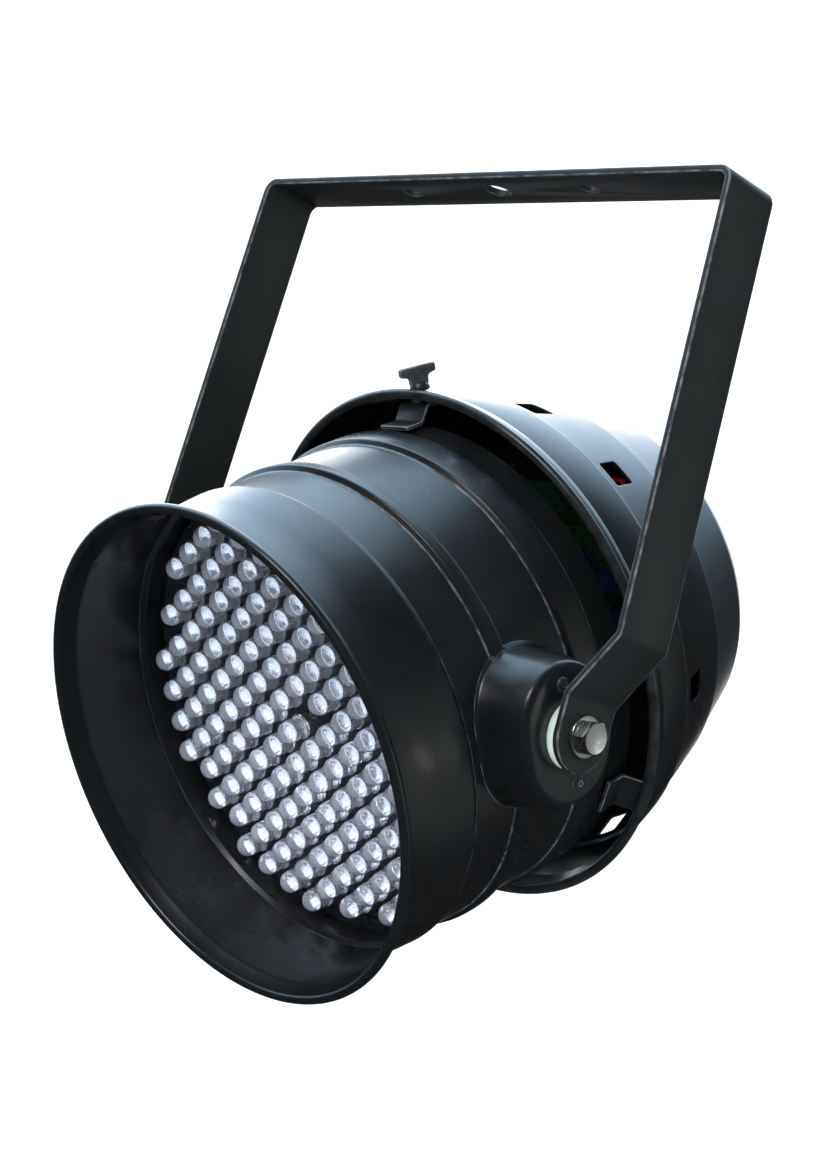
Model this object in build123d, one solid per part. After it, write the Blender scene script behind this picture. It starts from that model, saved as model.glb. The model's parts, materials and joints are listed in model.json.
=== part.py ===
from build123d import *
import os
from math import asin, atan2, cos, degrees, radians, sin, sqrt

# A short LED par can hanging in a strap-steel yoke. Millimetres, +Z up.
# Row frame: X along the tilt pivots, +Z up, light thrown towards -Y and down.
# The origin is on top of the yoke's bar, at the centre of its hanging hole.
# The lamp head is drawn in its own can frame: origin where the pivot line meets the can's axis,
# Y along the axis towards the rear, X along the pivots. It is then tilted and dropped into place.
# In that frame an outline point is (radius, place along the axis).

# ---------------------------------------------------------------- yoke
strap_width = 30.0
strap_thickness = 3.0
yoke_half_width = 143.5        # outer face of a leg, at the bar
pivot_drop = 235.0             # top of the bar to the pivot line
leg_splay = 7.3                # how much further out a leg stands where its jog starts
jog_top = 40.0                 # the jog's ends, above the pivot line
jog_bottom = 14.0
bar_bend_radius = 7.0
jog_bend_radius = 5.0
hanging_hole_radius = 6.25
side_hole_radius = 4.25
side_hole_spacing = 110.0
rest_tilt = 35.0               # how far the light points down at rest, degrees

# ---------------------------------------------------------------- tilt pivots
pivot_bolt_radius = 4.0
pivot_bolt_head_flats = 13.0
pivot_bolt_head_height = 5.3
outer_washer_radius = 8.6
outer_washer_thickness = 1.6
friction_washer_radius = 14.0
friction_washer_thickness = 4.0
running_clearance = 0.08       # radial, on every turning or sliding pin
ear_reach = 125.5              # outer face of an ear, from the can's axis
ear_face_radius = 25.0
ear_half_length = 30.0         # pivot line to the ear's top or bottom
ear_thickness = 2.0
ear_flare = 3.0                # how much wider the ear is where it meets the can
ear_rivet_height = 21.0        # pivot line to each rivet on the ear's face
ear_edge_radius = 3.5
nut_plate_width = 18.0
nut_plate_thickness = 2.0
pivot_nut_flats = 13.0
pivot_nut_height = 6.5

# ---------------------------------------------------------------- barrel, the front can
can_wall = 1.2
rim_bead_radius = 2.2
rim_radius = 108.0             # centre of the rolled front bead
rim_place = -78.0
neck_radius = 102.8
neck_place = -58.0
crest_radius = 104.4
crest_place = -36.0
body_radius = 103.0
front_bead_place = -6.0
front_bead_width = 5.0
front_bead_height = 2.4
rear_bead_place = 37.5
rear_bead_width = 13.5
rear_bead_height = 2.2
bead_slope = 1.8               # run of a bead's sloping flank
barrel_end = 60.5

# ---------------------------------------------------------------- rear cap
cap_rim_radius = 117.3         # centre of the folded front rim
cap_rim_place = 59.2
cap_rim_bead = 2.3
cap_crease_radius = 110.4
cap_crease_place = 89.5
cap_crease_step = 1.4
cap_second_crease_radius = 97.2
cap_second_crease_place = 127.0
cap_shoulder_radius = 83.0
cap_shoulder_place = 160.5
cap_end = 165.0
cap_opening_radius = 66.0
vent_count = 13
vent_side = 13.0
vent_place = 101.0
first_vent_angle = 18.0

# ---------------------------------------------------------------- cap fixing
thumb_screw_place = 66.6
thumb_screw_radius = 2.5
thumb_wing_span = 17.0
thumb_wing_height = 9.0
thumb_wing_thickness = 2.6
thumb_wing_turn = 20.0
thumb_collar_radius = 4.4
bracket_thickness = 1.5
bracket_width = 17.0
bracket_reach = 72.0           # rear end of a cap bracket, along the axis
cap_clearance = 0.4            # cap brackets to the cap's inside
cap_nut_flats = 8.0
cap_nut_height = 2.4           # at its thinnest, under the sloping skin
rivet_radius = 1.6

# ---------------------------------------------------------------- light source
led_radius = 5.0
led_height = 12.0
led_pitch = 14.6
led_rings = 7
led_grid_turn = 4.5
led_corner_reach = 6.3         # in pitches; places further towards a corner are left out
led_board_radius = 101.0
led_board_face = -24.0
board_thickness = 1.6
driver_gap = 16.0
driver_board_width = 120.0
driver_board_height = 84.0
small_screw_radius = 1.5

# ---------------------------------------------------------------- rear panel and electronics
panel_radius = 75.0
panel_thickness = 2.0
panel_screw_circle = 70.5
control_board_depth = 15.0     # panel's inner face to the control board
supply_board_depth = 34.0      # panel's inner face to the power supply board
supply_board_width = 108.0
supply_board_height = 70.0
control_board_width = 84.0
control_board_low = 8.0
control_board_high = 49.0
button_radius = 4.0
button_spacing = 15.0
button_row = 16.0
button_travel = 1.0
display_width = 42.0
display_height = 16.0
display_row = 40.0
socket_spacing = 60.0
socket_row = -14.0
socket_body_radius = 11.5
socket_flange_width = 26.0
socket_flange_height = 31.0
socket_depth = 18.0
socket_hole_radius = 9.4
socket_flange_thickness = 2.2
socket_floor = socket_flange_thickness - 13   # bottom of the socket's well, from the panel's face
socket_insert_radius = 7.6
socket_insert_length = 11.5
gland_offset = 22.0
gland_row = -48.0
gland_bore_radius = 3.6
fuse_holder_radius = 6.5
fuse_cap_radius = 7.6
latch_travel = 1.2
latch_row = 12.1               # socket's centre to its release tab
latch_width = 8.0
latch_depth = 2.8
gland_thread_radius = 6.0
gland_flats = 17.0
gland_hexagon_height = 4.0
gland_nose_length = 9.0        # thread under the dome nut
gland_tail_length = 8.0        # thread behind the panel
gland_nut_height = 9.0
gland_dome_height = 6.0
gland_locknut_height = 4.0
fuse_body_length = 22.0
fuse_holder_floor = 2.0
fuse_rim_thickness = 1.8
fuse_cap_height = 4.2
fuse_stem_radius = 4.2
fuse_radius = 2.6
fuse_length = 19.0
contact_circle = 4.2
contact_radius = 1.2
contact_outside = 1.55         # outside of a contact tube
contact_lift = 2.0             # floor of the socket's well to a contact tube
contact_angles = (90, 210, 330)


# ================================================================ helpers
def can_place(shape):
    """Tilt a shape from the can frame and drop it onto the pivot line."""
    return Pos(0, 0, -pivot_drop) * Rot(rest_tilt, 0, 0) * shape


def closed_face(*edges):
    return make_face(Wire(edges))


def sheet_face(points, thickness, radii, side):
    """A strip of sheet whose one face runs through points, with rounded bends."""
    path = FilletPolyline(*points, radius=radii)
    return make_face(Wire(path.edges()).offset_2d(thickness, side=side))


def ring(radius, hole, length):
    """A washer or bush along Z, its underside at zero."""
    return extrude(Circle(radius) - Circle(hole), length)


def risen(radius, length, foot=0):
    """A round bar along Z, standing on its foot."""
    return Pos(0, 0, foot) * Cylinder(radius, length, align=(Align.CENTER, Align.CENTER, Align.MIN))


def hung(radius, length, top=0):
    """A round bar along Z, reaching down from its top."""
    return Pos(0, 0, top) * Cylinder(radius, length, align=(Align.CENTER, Align.CENTER, Align.MAX))


def along_x(shape, x, y=0, z=0):
    """Turn a shape drawn along Z so that it runs along +X from the given point."""
    return Pos(x, y, z) * Rot(0, 90, 0) * shape


def along_y(shape, x, y, z):
    """Turn a shape drawn along Z so that it runs along +Y, towards the can's rear."""
    return Pos(x, y, z) * Rot(-90, 0, 0) * shape


def at_angle(shape, angle):
    """Turn a shape round the can's axis, from the top towards +X."""
    return Rot(0, angle, 0) * shape


def outwards(shape, radius, place, angle):
    """Stand a shape drawn along Z on the can, pointing away from the axis."""
    return at_angle(Pos(0, place, radius) * shape, angle)


def sector(face, width, radius, angle):
    """Revolve a can outline through a narrow arc centred on an angle from the top."""
    arc = degrees(2 * asin(width / 2 / radius))
    piece = revolve(face, Axis.Y, revolution_arc=arc)
    middle = piece.center(CenterOf.BOUNDING_BOX)
    return Rot(0, angle - degrees(atan2(middle.X, middle.Z)), 0) * piece


def box_between(x, y, z):
    """A box from three (low, high) pairs."""
    return Pos((x[0] + x[1]) / 2, (y[0] + y[1]) / 2, (z[0] + z[1]) / 2) * Box(
        x[1] - x[0], y[1] - y[0], z[1] - z[0])


def pan_screw(radius, length):
    """A pan-head screw along Z: head above zero, shank below, with a cross recess."""
    head = Cylinder(radius * 1.85, radius * 1.3, align=(Align.CENTER, Align.CENTER, Align.MIN))
    head = fillet(head.edges().group_by(Axis.Z)[-1], radius * 0.6)
    shank = Cylinder(radius, length, align=(Align.CENTER, Align.CENTER, Align.MAX))
    slot = Box(radius * 1.9, radius * 0.4, radius * 0.8)
    cross = Pos(0, 0, radius * 1.3) * (slot + Rot(0, 0, 90) * slot)
    return head + shank - cross


def pop_rivet(grip):
    """A blind rivet along Z: domed head above zero, grip and tail below."""
    head = Cylinder(rivet_radius * 2, rivet_radius * 0.7, align=(Align.CENTER, Align.CENTER, Align.MIN))
    head = fillet(head.edges().group_by(Axis.Z)[-1], rivet_radius * 0.6)
    shank = Cylinder(rivet_radius, grip, align=(Align.CENTER, Align.CENTER, Align.MAX))
    tail = Pos(0, 0, -grip) * Cylinder(rivet_radius * 1.5, rivet_radius * 1.4,
                                       align=(Align.CENTER, Align.CENTER, Align.MAX))
    return head + shank + tail


def group(shapes):
    """Several separate solids kept in one node."""
    return Compound(children=[solid for shape in shapes for solid in shape.solids()])


# ================================================================ yoke
foot_face = ear_reach + friction_washer_thickness
foot_outer = foot_face + strap_thickness


def make_yoke():
    end = -pivot_drop - strap_width / 2
    half = [(foot_outer, end), (foot_outer, jog_bottom - pivot_drop),
            (yoke_half_width + leg_splay, jog_top - pivot_drop), (yoke_half_width, 0)]
    points = half + [(-x, z) for x, z in reversed(half)]
    bends = [jog_bend_radius, jog_bend_radius, bar_bend_radius]
    strap = sheet_face(points, strap_thickness, bends + bends[::-1], Side.LEFT)
    blank = extrude(Plane.XZ * strap, strap_width / 2, both=True)
    trim = Pos(0, -pivot_drop / 2) * Rectangle(strap_width, pivot_drop)
    trim += Pos(0, -pivot_drop) * Circle(strap_width / 2)
    yoke = blank & extrude(Plane.YZ * trim, yoke_half_width + 2 * leg_splay, both=True)
    for x, radius in ((0, hanging_hole_radius), (-side_hole_spacing / 2, side_hole_radius),
                      (side_hole_spacing / 2, side_hole_radius)):
        yoke -= Pos(x, 0, 0) * Cylinder(radius, 4 * strap_thickness)
    hole = along_x(Cylinder(pivot_bolt_radius + running_clearance, 2 * foot_outer + 2), 0, 0, -pivot_drop)
    return yoke - hole


def make_pivot_washers(radius, thickness, face):
    """The same washer on both pivots, each with its inner face at the given distance out."""
    washer = ring(radius, pivot_bolt_radius + running_clearance, thickness)
    right = along_x(washer, face)
    return group([Pos(0, 0, -pivot_drop) * side for side in (right, mirror(right, Plane.YZ))])


# ================================================================ barrel
def raised_bead(place, width, height):
    low, high = place - width / 2, place + width / 2
    return [(body_radius, low - bead_slope), (body_radius + height, low),
            (body_radius + height, high), (body_radius, high + bead_slope)]


def barrel_outline():
    """Outer face of the barrel from the front bead to the rear edge, and its bend radii."""
    points = [(rim_radius - 1.2, rim_place + 0.6), (neck_radius + 1.6, rim_place + 6),
              (neck_radius, neck_place), (crest_radius, crest_place), (body_radius, crest_place + 2.5)]
    points += raised_bead(front_bead_place, front_bead_width, front_bead_height)
    points += raised_bead(rear_bead_place, rear_bead_width, rear_bead_height)
    points += [(body_radius, barrel_end)]
    radii = [6.0, 60.0, 1.4, 1.4] + [1.2] * 8
    return points, radii


def make_barrel_envelope():
    """Everything inside the barrel's outer face, for trimming what is welded on it."""
    points, radii = barrel_outline()
    path = FilletPolyline(*points, radius=radii)
    start, end = points[0], points[-1]
    sides = Polyline(end, (0, end[1]), (0, start[1]), start)
    return revolve(closed_face(*path.edges(), *sides.edges()), Axis.Y)


def make_barrel():
    points, radii = barrel_outline()
    wall = sheet_face(points, can_wall, radii, Side.LEFT)
    wall += Pos(rim_radius, rim_place) * Circle(rim_bead_radius)
    return revolve(wall, Axis.Y)


# ================================================================ ears
def ear_block(inset, depth_from, depth_to):
    """A drafted block with rounded ends, along +X, for the ear's outside or its hollow."""
    outline = SlotOverall(2 * (ear_half_length - inset), 2 * (ear_face_radius - inset), rotation=90)
    taper = degrees(atan2(ear_flare, ear_reach - body_radius))
    block = extrude(outline, depth_to - depth_from, taper=-taper)
    return Pos(depth_to, 0, 0) * Rot(0, -90, 0) * Rot(0, 0, 90) * block


def make_ear(envelope):
    outside = ear_block(0, body_radius - 20, ear_reach)
    outside = fillet(outside.edges().filter_by(GeomType.CIRCLE).group_by(Axis.X)[-1]
                     + outside.edges().filter_by(GeomType.LINE).group_by(Axis.X)[-1], ear_edge_radius)
    hollow = ear_block(ear_thickness, body_radius - 30, ear_reach - ear_thickness)
    ear = outside - hollow - envelope
    ear -= along_x(Cylinder(pivot_bolt_radius + running_clearance, 3 * ear_thickness), ear_reach)
    for z in (ear_rivet_height, -ear_rivet_height):
        ear -= along_x(Cylinder(rivet_radius, 3 * ear_thickness), ear_reach, 0, z)
    return ear


def make_nut_plate():
    """Plate riveted inside the ear's face, with the pivot nut welded to it."""
    face = ear_reach - ear_thickness
    plate = RectangleRounded(2 * ear_rivet_height + 11, nut_plate_width, 5)
    plate -= Circle(pivot_bolt_radius + running_clearance)
    for x in (ear_rivet_height, -ear_rivet_height):
        plate -= Pos(x, 0) * Circle(rivet_radius)
    nut = RegularPolygon(pivot_nut_flats / 2, 6, major_radius=False)
    nut -= Circle(pivot_bolt_radius + running_clearance)
    stack = extrude(plate, nut_plate_thickness)
    stack += Pos(0, 0, nut_plate_thickness) * extrude(nut, pivot_nut_height)
    return Pos(face, 0, 0) * Rot(0, -90, 0) * stack


def make_pivot_bolt():
    """Hexagon-head bolt of the +X pivot, from the head's outer face to its tip."""
    seat = foot_outer + outer_washer_thickness
    head = extrude(RegularPolygon(pivot_bolt_head_flats / 2, 6, major_radius=False), pivot_bolt_head_height)
    crown_height = 3.2
    crown_radius = pivot_bolt_head_flats * 0.62 - 1.2
    crown = Cone(crown_radius + crown_height, crown_radius, crown_height,
                 align=(Align.CENTER, Align.CENTER, Align.MAX))
    crown = Pos(0, 0, pivot_bolt_head_height) * crown
    low = Cylinder(pivot_bolt_head_flats, pivot_bolt_head_height - crown_height,
                   align=(Align.CENTER, Align.CENTER, Align.MIN))
    head &= crown + low
    tip = ear_reach - ear_thickness - nut_plate_thickness - pivot_nut_height - 2
    shank = Cylinder(pivot_bolt_radius, seat - tip, align=(Align.CENTER, Align.CENTER, Align.MAX))
    shank = chamfer(shank.edges().group_by(Axis.Z)[0], 0.8)
    return along_x(head + shank, seat)


def make_ear_rivets():
    rivets = []
    for side in (1, -1):
        for z in (ear_rivet_height, -ear_rivet_height):
            rivet = along_x(pop_rivet(ear_thickness + nut_plate_thickness), ear_reach, 0, z)
            rivets.append(rivet if side > 0 else mirror(rivet, Plane.YZ))
    return group(rivets)


# ================================================================ rear cap
def cap_outline():
    points = [(cap_rim_radius + 0.3, cap_rim_place + 0.8), (cap_crease_radius, cap_crease_place),
              (cap_crease_radius - cap_crease_step, cap_crease_place + cap_crease_step),
              (cap_second_crease_radius, cap_second_crease_place),
              (cap_second_crease_radius - cap_crease_step, cap_second_crease_place + cap_crease_step),
              (cap_shoulder_radius, cap_shoulder_place), (cap_shoulder_radius - 3, cap_end),
              (cap_opening_radius, cap_end)]
    radii = [1.0, 1.0, 1.0, 1.0, 5.0, 1.6]
    return points, radii


def cap_radius_at(place):
    """Outer radius of the cap's front cone at a place along the axis."""
    (r0, y0), (r1, y1) = cap_outline()[0][:2]
    return r0 + (r1 - r0) * (place - y0) / (y1 - y0)


def cap_bore_at(place):
    """Inner radius of the same cone."""
    (r0, y0), (r1, y1) = cap_outline()[0][:2]
    return cap_radius_at(place) - can_wall / cos(atan2(r0 - r1, y1 - y0))


def make_cap_bore():
    """The space inside the front cone, for trimming what is welded under the skin."""
    front, rear = cap_outline()[0][0][1], cap_outline()[0][1][1]
    edge = Polyline((0, front), (cap_bore_at(front), front), (cap_bore_at(rear), rear), (0, rear),
                    close=True)
    return revolve(make_face(edge), Axis.Y)


def make_rear_cap():
    points, radii = cap_outline()
    wall = sheet_face(points, can_wall, radii, Side.LEFT)
    wall += Pos(cap_rim_radius, cap_rim_place) * Circle(cap_rim_bead)
    cap = revolve(wall, Axis.Y)
    hole = extrude(RectangleRounded(vent_side, vent_side, 1.2), 40, both=True)
    cutters = [outwards(hole, cap_crease_radius, vent_place, first_vent_angle + 360 * i / vent_count)
               for i in range(vent_count)]
    cutters.append(Pos(0, thumb_screw_place, cap_rim_radius)
                   * Cylinder(thumb_screw_radius + running_clearance, 20))
    for x, z in panel_screw_places():
        cutters.append(along_y(Cylinder(small_screw_radius, 10), x, cap_end, z))
    return cap - cutters


nut_underside = cap_bore_at(thumb_screw_place + cap_nut_flats / 2) - cap_nut_height
rest_shelf = cap_bore_at(bracket_reach) - cap_clearance
catch_shelf = nut_underside - cap_clearance


def bracket_face(shelf):
    """Side view of a cap bracket: foot on the barrel, riser, then a shelf under the cap."""
    foot_front = rear_bead_place + rear_bead_width / 2 + bead_slope + 1
    foot = body_radius + bracket_thickness
    points = [(foot, foot_front), (foot, barrel_end - 3),
              (shelf, barrel_end + 2.2), (shelf, bracket_reach)]
    return sheet_face(points, bracket_thickness, 1.8, Side.LEFT)


def bracket_rivet_place():
    return (rear_bead_place + rear_bead_width / 2 + bead_slope + barrel_end) / 2 - 0.4


def make_rest_bracket(angle):
    bracket = sector(bracket_face(rest_shelf), bracket_width, rest_shelf, angle)
    return bracket - bracket_rivet_hole(angle)


def make_catch_bracket():
    """The top bracket, whose shelf has a slot open to the rear for the thumb screw's shank."""
    bracket = sector(bracket_face(catch_shelf), bracket_width, catch_shelf, 0)
    half = thumb_screw_radius + cap_clearance
    slot = Pos(0, thumb_screw_place, catch_shelf) * Cylinder(half, 12)
    slot += box_between((-half, half), (thumb_screw_place, bracket_reach + 2),
                        (catch_shelf - 6, catch_shelf + 6))
    return bracket - slot - bracket_rivet_hole(0)


def bracket_rivet_hole(angle):
    return outwards(Cylinder(rivet_radius, 12), body_radius, bracket_rivet_place(), angle)


def make_cap_nut():
    """Weld nut under the cap's skin for the thumb screw, trimmed to the skin's slope."""
    nut = RegularPolygon(cap_nut_flats / 2, 6, major_radius=False)
    nut -= Circle(thumb_screw_radius + running_clearance)
    body = Pos(0, thumb_screw_place, nut_underside) * extrude(nut, 2 * cap_nut_height)
    return body & make_cap_bore()


def make_thumb_screw():
    seat = cap_radius_at(thumb_screw_place - thumb_collar_radius) + 0.15
    tip = catch_shelf - bracket_thickness - 1.5
    shank = Cylinder(thumb_screw_radius, seat - tip, align=(Align.CENTER, Align.CENTER, Align.MAX))
    shank = chamfer(shank.edges().group_by(Axis.Z)[0], 0.5)
    collar = Cylinder(thumb_collar_radius, 2.4, align=(Align.CENTER, Align.CENTER, Align.MIN))
    half = thumb_wing_span / 2
    outline = Polyline((-thumb_collar_radius + 0.4, 0), (-half, thumb_wing_height - 3.5),
                       (-half, thumb_wing_height), (half, thumb_wing_height),
                       (half, thumb_wing_height - 3.5), (thumb_collar_radius - 0.4, 0), close=True)
    wing = extrude(Plane.YZ * make_face(outline), thumb_wing_thickness / 2, both=True)
    wing = fillet(wing.edges().filter_by(Axis.X), 1.2)
    wing = Pos(0, 0, 1.8) * Rot(0, 0, -thumb_wing_turn) * wing
    return Pos(0, thumb_screw_place, seat) * (shank + collar + wing)


# ================================================================ light source
def led_places():
    """Hexagonal grid without its middle and without three places at each corner."""
    places = []
    step = led_pitch * sqrt(3) / 2
    for column in range(-led_rings, led_rings + 1):
        rows = 2 * led_rings + 1 - abs(column)
        for row in range(rows):
            x, z = column * step, (row - (rows - 1) / 2) * led_pitch
            reach = max(abs(z), abs(z) / 2 + abs(x) * sqrt(3) / 2) / led_pitch
            if reach < led_corner_reach and (x, z) != (0, 0):
                places.append(turned(x, z, led_grid_turn))
    return places


def turned(x, z, angle):
    turn = radians(angle)
    return x * cos(turn) - z * sin(turn), x * sin(turn) + z * cos(turn)


def board_screw_places():
    """Three empty places at the corners of the grid."""
    x, z = led_pitch * sqrt(3) / 2, led_pitch * (led_rings - 0.5)
    return [turned(*turned(x, z, 120 * i), led_grid_turn) for i in range(3)]


def make_leds():
    """Clear round-topped diodes standing on the board."""
    straight = led_height - led_radius
    flange = 0.6
    foot = led_radius + flange
    outline = [Line((0, 0), (foot, 0)), Line((foot, 0), (foot, 1)),
               Line((foot, 1), (led_radius, 1)), Line((led_radius, 1), (led_radius, straight)),
               RadiusArc((led_radius, straight), (0, led_height), -led_radius),
                Line((0, led_height), (0, 0))]
    diode = revolve(closed_face(*[edge.edge() for edge in outline]), Axis.Y)
    diode = Rot(0, 0, 180) * diode
    return group([Pos(x, led_board_face, z) * diode for x, z in led_places()])


def board_plate(face, face_place):
    """A circuit board whose front is at face_place."""
    return along_y(extrude(face, board_thickness), 0, face_place, 0)


def make_led_board():
    face = Circle(led_board_radius) - Circle(small_screw_radius)
    for x, z in board_screw_places():
        face -= Pos(x, -z) * Circle(small_screw_radius)
    return board_plate(face, led_board_face)


led_board_back = led_board_face + board_thickness
barrel_bore = body_radius - can_wall


def make_led_board_brackets():
    """Three angle brackets spot-welded inside the barrel, with threaded holes."""
    brackets = []
    for x, z in board_screw_places():
        radius = sqrt(x * x + z * z)
        points = [(radius - 5, led_board_back), (barrel_bore, led_board_back),
                  (barrel_bore, led_board_back + 10)]
        piece = sector(sheet_face(points, bracket_thickness, 1.6, Side.LEFT), 14, barrel_bore,
                       degrees(atan2(x, z)))
        brackets.append(piece - along_y(Cylinder(small_screw_radius, 20), x, led_board_back, z))
    return group(brackets)


def front_screw(x, z, length):
    """A screw driven from the front into the board."""
    return Pos(x, led_board_face, z) * Rot(90, 0, 0) * pan_screw(small_screw_radius, length)


driver_face = led_board_back + driver_gap
driver_back = driver_face + board_thickness


def make_spacer():
    spacer = extrude(RegularPolygon(2.75, 6, major_radius=False) - Circle(small_screw_radius), driver_gap)
    return along_y(spacer, 0, led_board_back, 0)


def make_board_headers():
    blocks = []
    for x, z in ((-38, 26), (38, 26), (-38, -26), (38, -26)):
        blocks.append(box_between((x - 12, x + 12), (led_board_back, driver_face), (z - 2.5, z + 2.5)))
    return group(blocks)


def make_driver_board():
    face = RectangleRounded(driver_board_width, driver_board_height, 6) - Circle(small_screw_radius)
    return board_plate(face, driver_face)


def make_driver_screw():
    return Pos(0, driver_back, 0) * Rot(-90, 0, 0) * pan_screw(small_screw_radius, 7)


def make_driver_transistors():
    """Four power transistors, each a tab with a moulded body, standing on the board."""
    pieces = []
    for i in range(4):
        x = -36 + 24 * i
        body = box_between((x - 5, x + 5), (driver_back + 4, driver_back + 13), (24, 28.4))
        tab = box_between((x - 5, x + 5), (driver_back + 13, driver_back + 19), (24, 25.3))
        legs = [box_between((x + d - 0.4, x + d + 0.4), (driver_back, driver_back + 4), (25.4, 26.0))
                for d in (-2.5, 0, 2.5)]
        hole = Pos(x, driver_back + 16, 25) * Cylinder(1.6, 4)
        pieces.append(body + tab + legs - hole)
    return group(pieces)


def capacitor(radius, height):
    """An electrolytic capacitor along Z with a crimped groove."""
    can = Cylinder(radius, height, align=(Align.CENTER, Align.CENTER, Align.MIN))
    can = fillet(can.edges().filter_by(GeomType.CIRCLE), 0.6)
    groove = Pos(0, 0, 2.4) * Torus(radius + 0.3, 0.7)
    return can - groove


def make_driver_capacitors():
    return group([along_y(capacitor(5, 16), x, driver_back, -26) for x in (-30, -14, 30)])


def make_driver_connector():
    block = box_between((4, 20), (driver_back, driver_back + 8), (-32, -24))
    return block - box_between((5.2, 18.8), (driver_back + 1.5, driver_back + 9), (-30.8, -25.2))


# ================================================================ rear panel
panel_inner = cap_end
panel_outer = panel_inner + panel_thickness


def panel_screw_places():
    return [(panel_screw_circle * sin(radians(a)), panel_screw_circle * cos(radians(a)))
            for a in (45, 135, 225, 315)]


def button_places():
    return [((i - 1.5) * button_spacing, button_row) for i in range(4)]


def socket_screw_places():
    """Two fixing screws on opposite corners of each socket flange."""
    reach_x, reach_z = socket_flange_width / 2 - 3.2, socket_flange_height / 2 - 3.4
    return [(side * socket_spacing / 2 + s * reach_x, socket_row + s * reach_z)
            for side in (-1, 1) for s in (-1, 1)]


def make_rear_panel():
    panel = Circle(panel_radius)
    for x, z in panel_screw_places() + socket_screw_places():
        panel -= Pos(x, -z) * Circle(small_screw_radius)
    for x, z in button_places():
        panel -= Pos(x, -z) * Circle(button_radius + running_clearance)
    panel -= Pos(0, -display_row) * Rectangle(display_width, display_height)
    for side in (-1, 1):
        socket_hole = Circle(socket_body_radius + running_clearance)
        panel -= Pos(side * socket_spacing / 2, -socket_row) * socket_hole
    latch_hole = Rectangle(latch_width + 1, latch_depth + 1)
    panel -= Pos(socket_spacing / 2, -socket_row - latch_row) * latch_hole
    panel -= Pos(gland_offset, -gland_row) * Circle(gland_thread_radius + running_clearance)
    panel -= Pos(-gland_offset, -gland_row) * Circle(fuse_holder_radius + running_clearance)
    return along_y(extrude(panel, panel_thickness), 0, panel_inner, 0)


def rear_screw(x, z, face, length):
    """A screw driven from behind, its head on the given face."""
    return Pos(x, face, z) * Rot(-90, 0, 0) * pan_screw(small_screw_radius, length)


def make_display_window():
    lip = 2.0
    across, low, high = display_width / 2, display_row - display_height / 2, display_row + display_height / 2
    window = box_between((-across, across), (panel_inner, panel_outer + 0.6), (low, high))
    lip_block = box_between((-across - lip, across + lip), (panel_inner - 1.2, panel_inner),
                            (low - lip, high + lip))
    return window + lip_block


control_board_face = panel_inner - control_board_depth
switch_height = 4.6


def make_display_module():
    """Block of four seven-segment digits, from the control board up to the window."""
    return box_between((-19, 19), (control_board_face, panel_inner - 1.5),
                       (display_row - 7, display_row + 7))


def make_control_board():
    half = control_board_width / 2
    board = box_between((-half, half), (control_board_face - board_thickness, control_board_face),
                        (control_board_low, control_board_high))
    for x, z in control_post_places():
        board -= along_y(Cylinder(small_screw_radius, 10), x, control_board_face, z)
    return board


def control_post_places():
    x, z_low, z_high = control_board_width / 2 - 4, control_board_low + 5, control_board_high - 5
    return [(side * x, z) for side in (-1, 1) for z in (z_low, z_high)]


def make_control_posts():
    """Hexagonal spacers from the panel's inner face to the control board."""
    post = extrude(RegularPolygon(2.75, 6, major_radius=False), control_board_depth)
    return group([along_y(post, x, control_board_face, z) for x, z in control_post_places()])


def make_key_switches():
    """Four push switches under the buttons, each a square base with a round plunger."""
    base = extrude(Rectangle(6, 6), switch_height - 1.2)
    plunger = Cylinder(1.7, 1.2, align=(Align.CENTER, Align.CENTER, Align.MIN))
    switch = base + Pos(0, 0, switch_height - 1.2) * plunger
    return group([along_y(switch, x, control_board_face, z) for x, z in button_places()])


def make_button(x, z):
    """Round button with a collar behind the panel, just clear of its switch at full travel."""
    foot = control_board_face + switch_height + button_travel + 0.15
    crown = panel_outer + 2.2
    stem = Cylinder(button_radius, crown - foot, align=(Align.CENTER, Align.CENTER, Align.MIN))
    stem = fillet(stem.edges().group_by(Axis.Z)[-1], 0.7)
    collar = Pos(0, 0, panel_inner - 0.3 - 1.2 - foot) * Cylinder(
        button_radius + 1.2, 1.2, align=(Align.CENTER, Align.CENTER, Align.MIN))
    return along_y(stem + collar, x, foot, z)


# ================================================================ sockets, fuse and gland
def socket_shell():
    """Panel socket along Z: flange on the panel at zero, round body going inwards (-Z)."""
    outline = RectangleRounded(socket_flange_width, socket_flange_height, 2.5)
    flange = extrude(outline, socket_flange_thickness)
    flange = fillet(flange.edges().group_by(Axis.Z)[-1], 0.8)
    body = Cylinder(socket_body_radius, socket_depth, align=(Align.CENTER, Align.CENTER, Align.MAX))
    shell = flange + body
    shell -= Pos(0, 0, socket_floor) * Cylinder(socket_hole_radius, 20,
                                                align=(Align.CENTER, Align.CENTER, Align.MIN))
    for s in (-1, 1):
        x, y = s * (socket_flange_width / 2 - 3.2), -s * (socket_flange_height / 2 - 3.4)
        shell -= Pos(x, y, 0) * Cylinder(small_screw_radius, 10)
    return shell


def contact_places(offset):
    return [(contact_circle * cos(radians(a + offset)), contact_circle * sin(radians(a + offset)))
            for a in contact_angles]


def make_signal_in():
    """Socket with pins: a hollow shell with three pins standing on its floor."""
    return on_panel(socket_shell(), -socket_spacing / 2, socket_row)


def make_signal_in_pins():
    pins = []
    for x, y in contact_places(0):
        pin = Cylinder(contact_radius, 10, align=(Align.CENTER, Align.CENTER, Align.MIN))
        pin = fillet(pin.edges().group_by(Axis.Z)[-1], 0.5)
        pins.append(on_panel(Pos(x, y, socket_floor) * pin, -socket_spacing / 2, socket_row))
    return group(pins)


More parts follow.
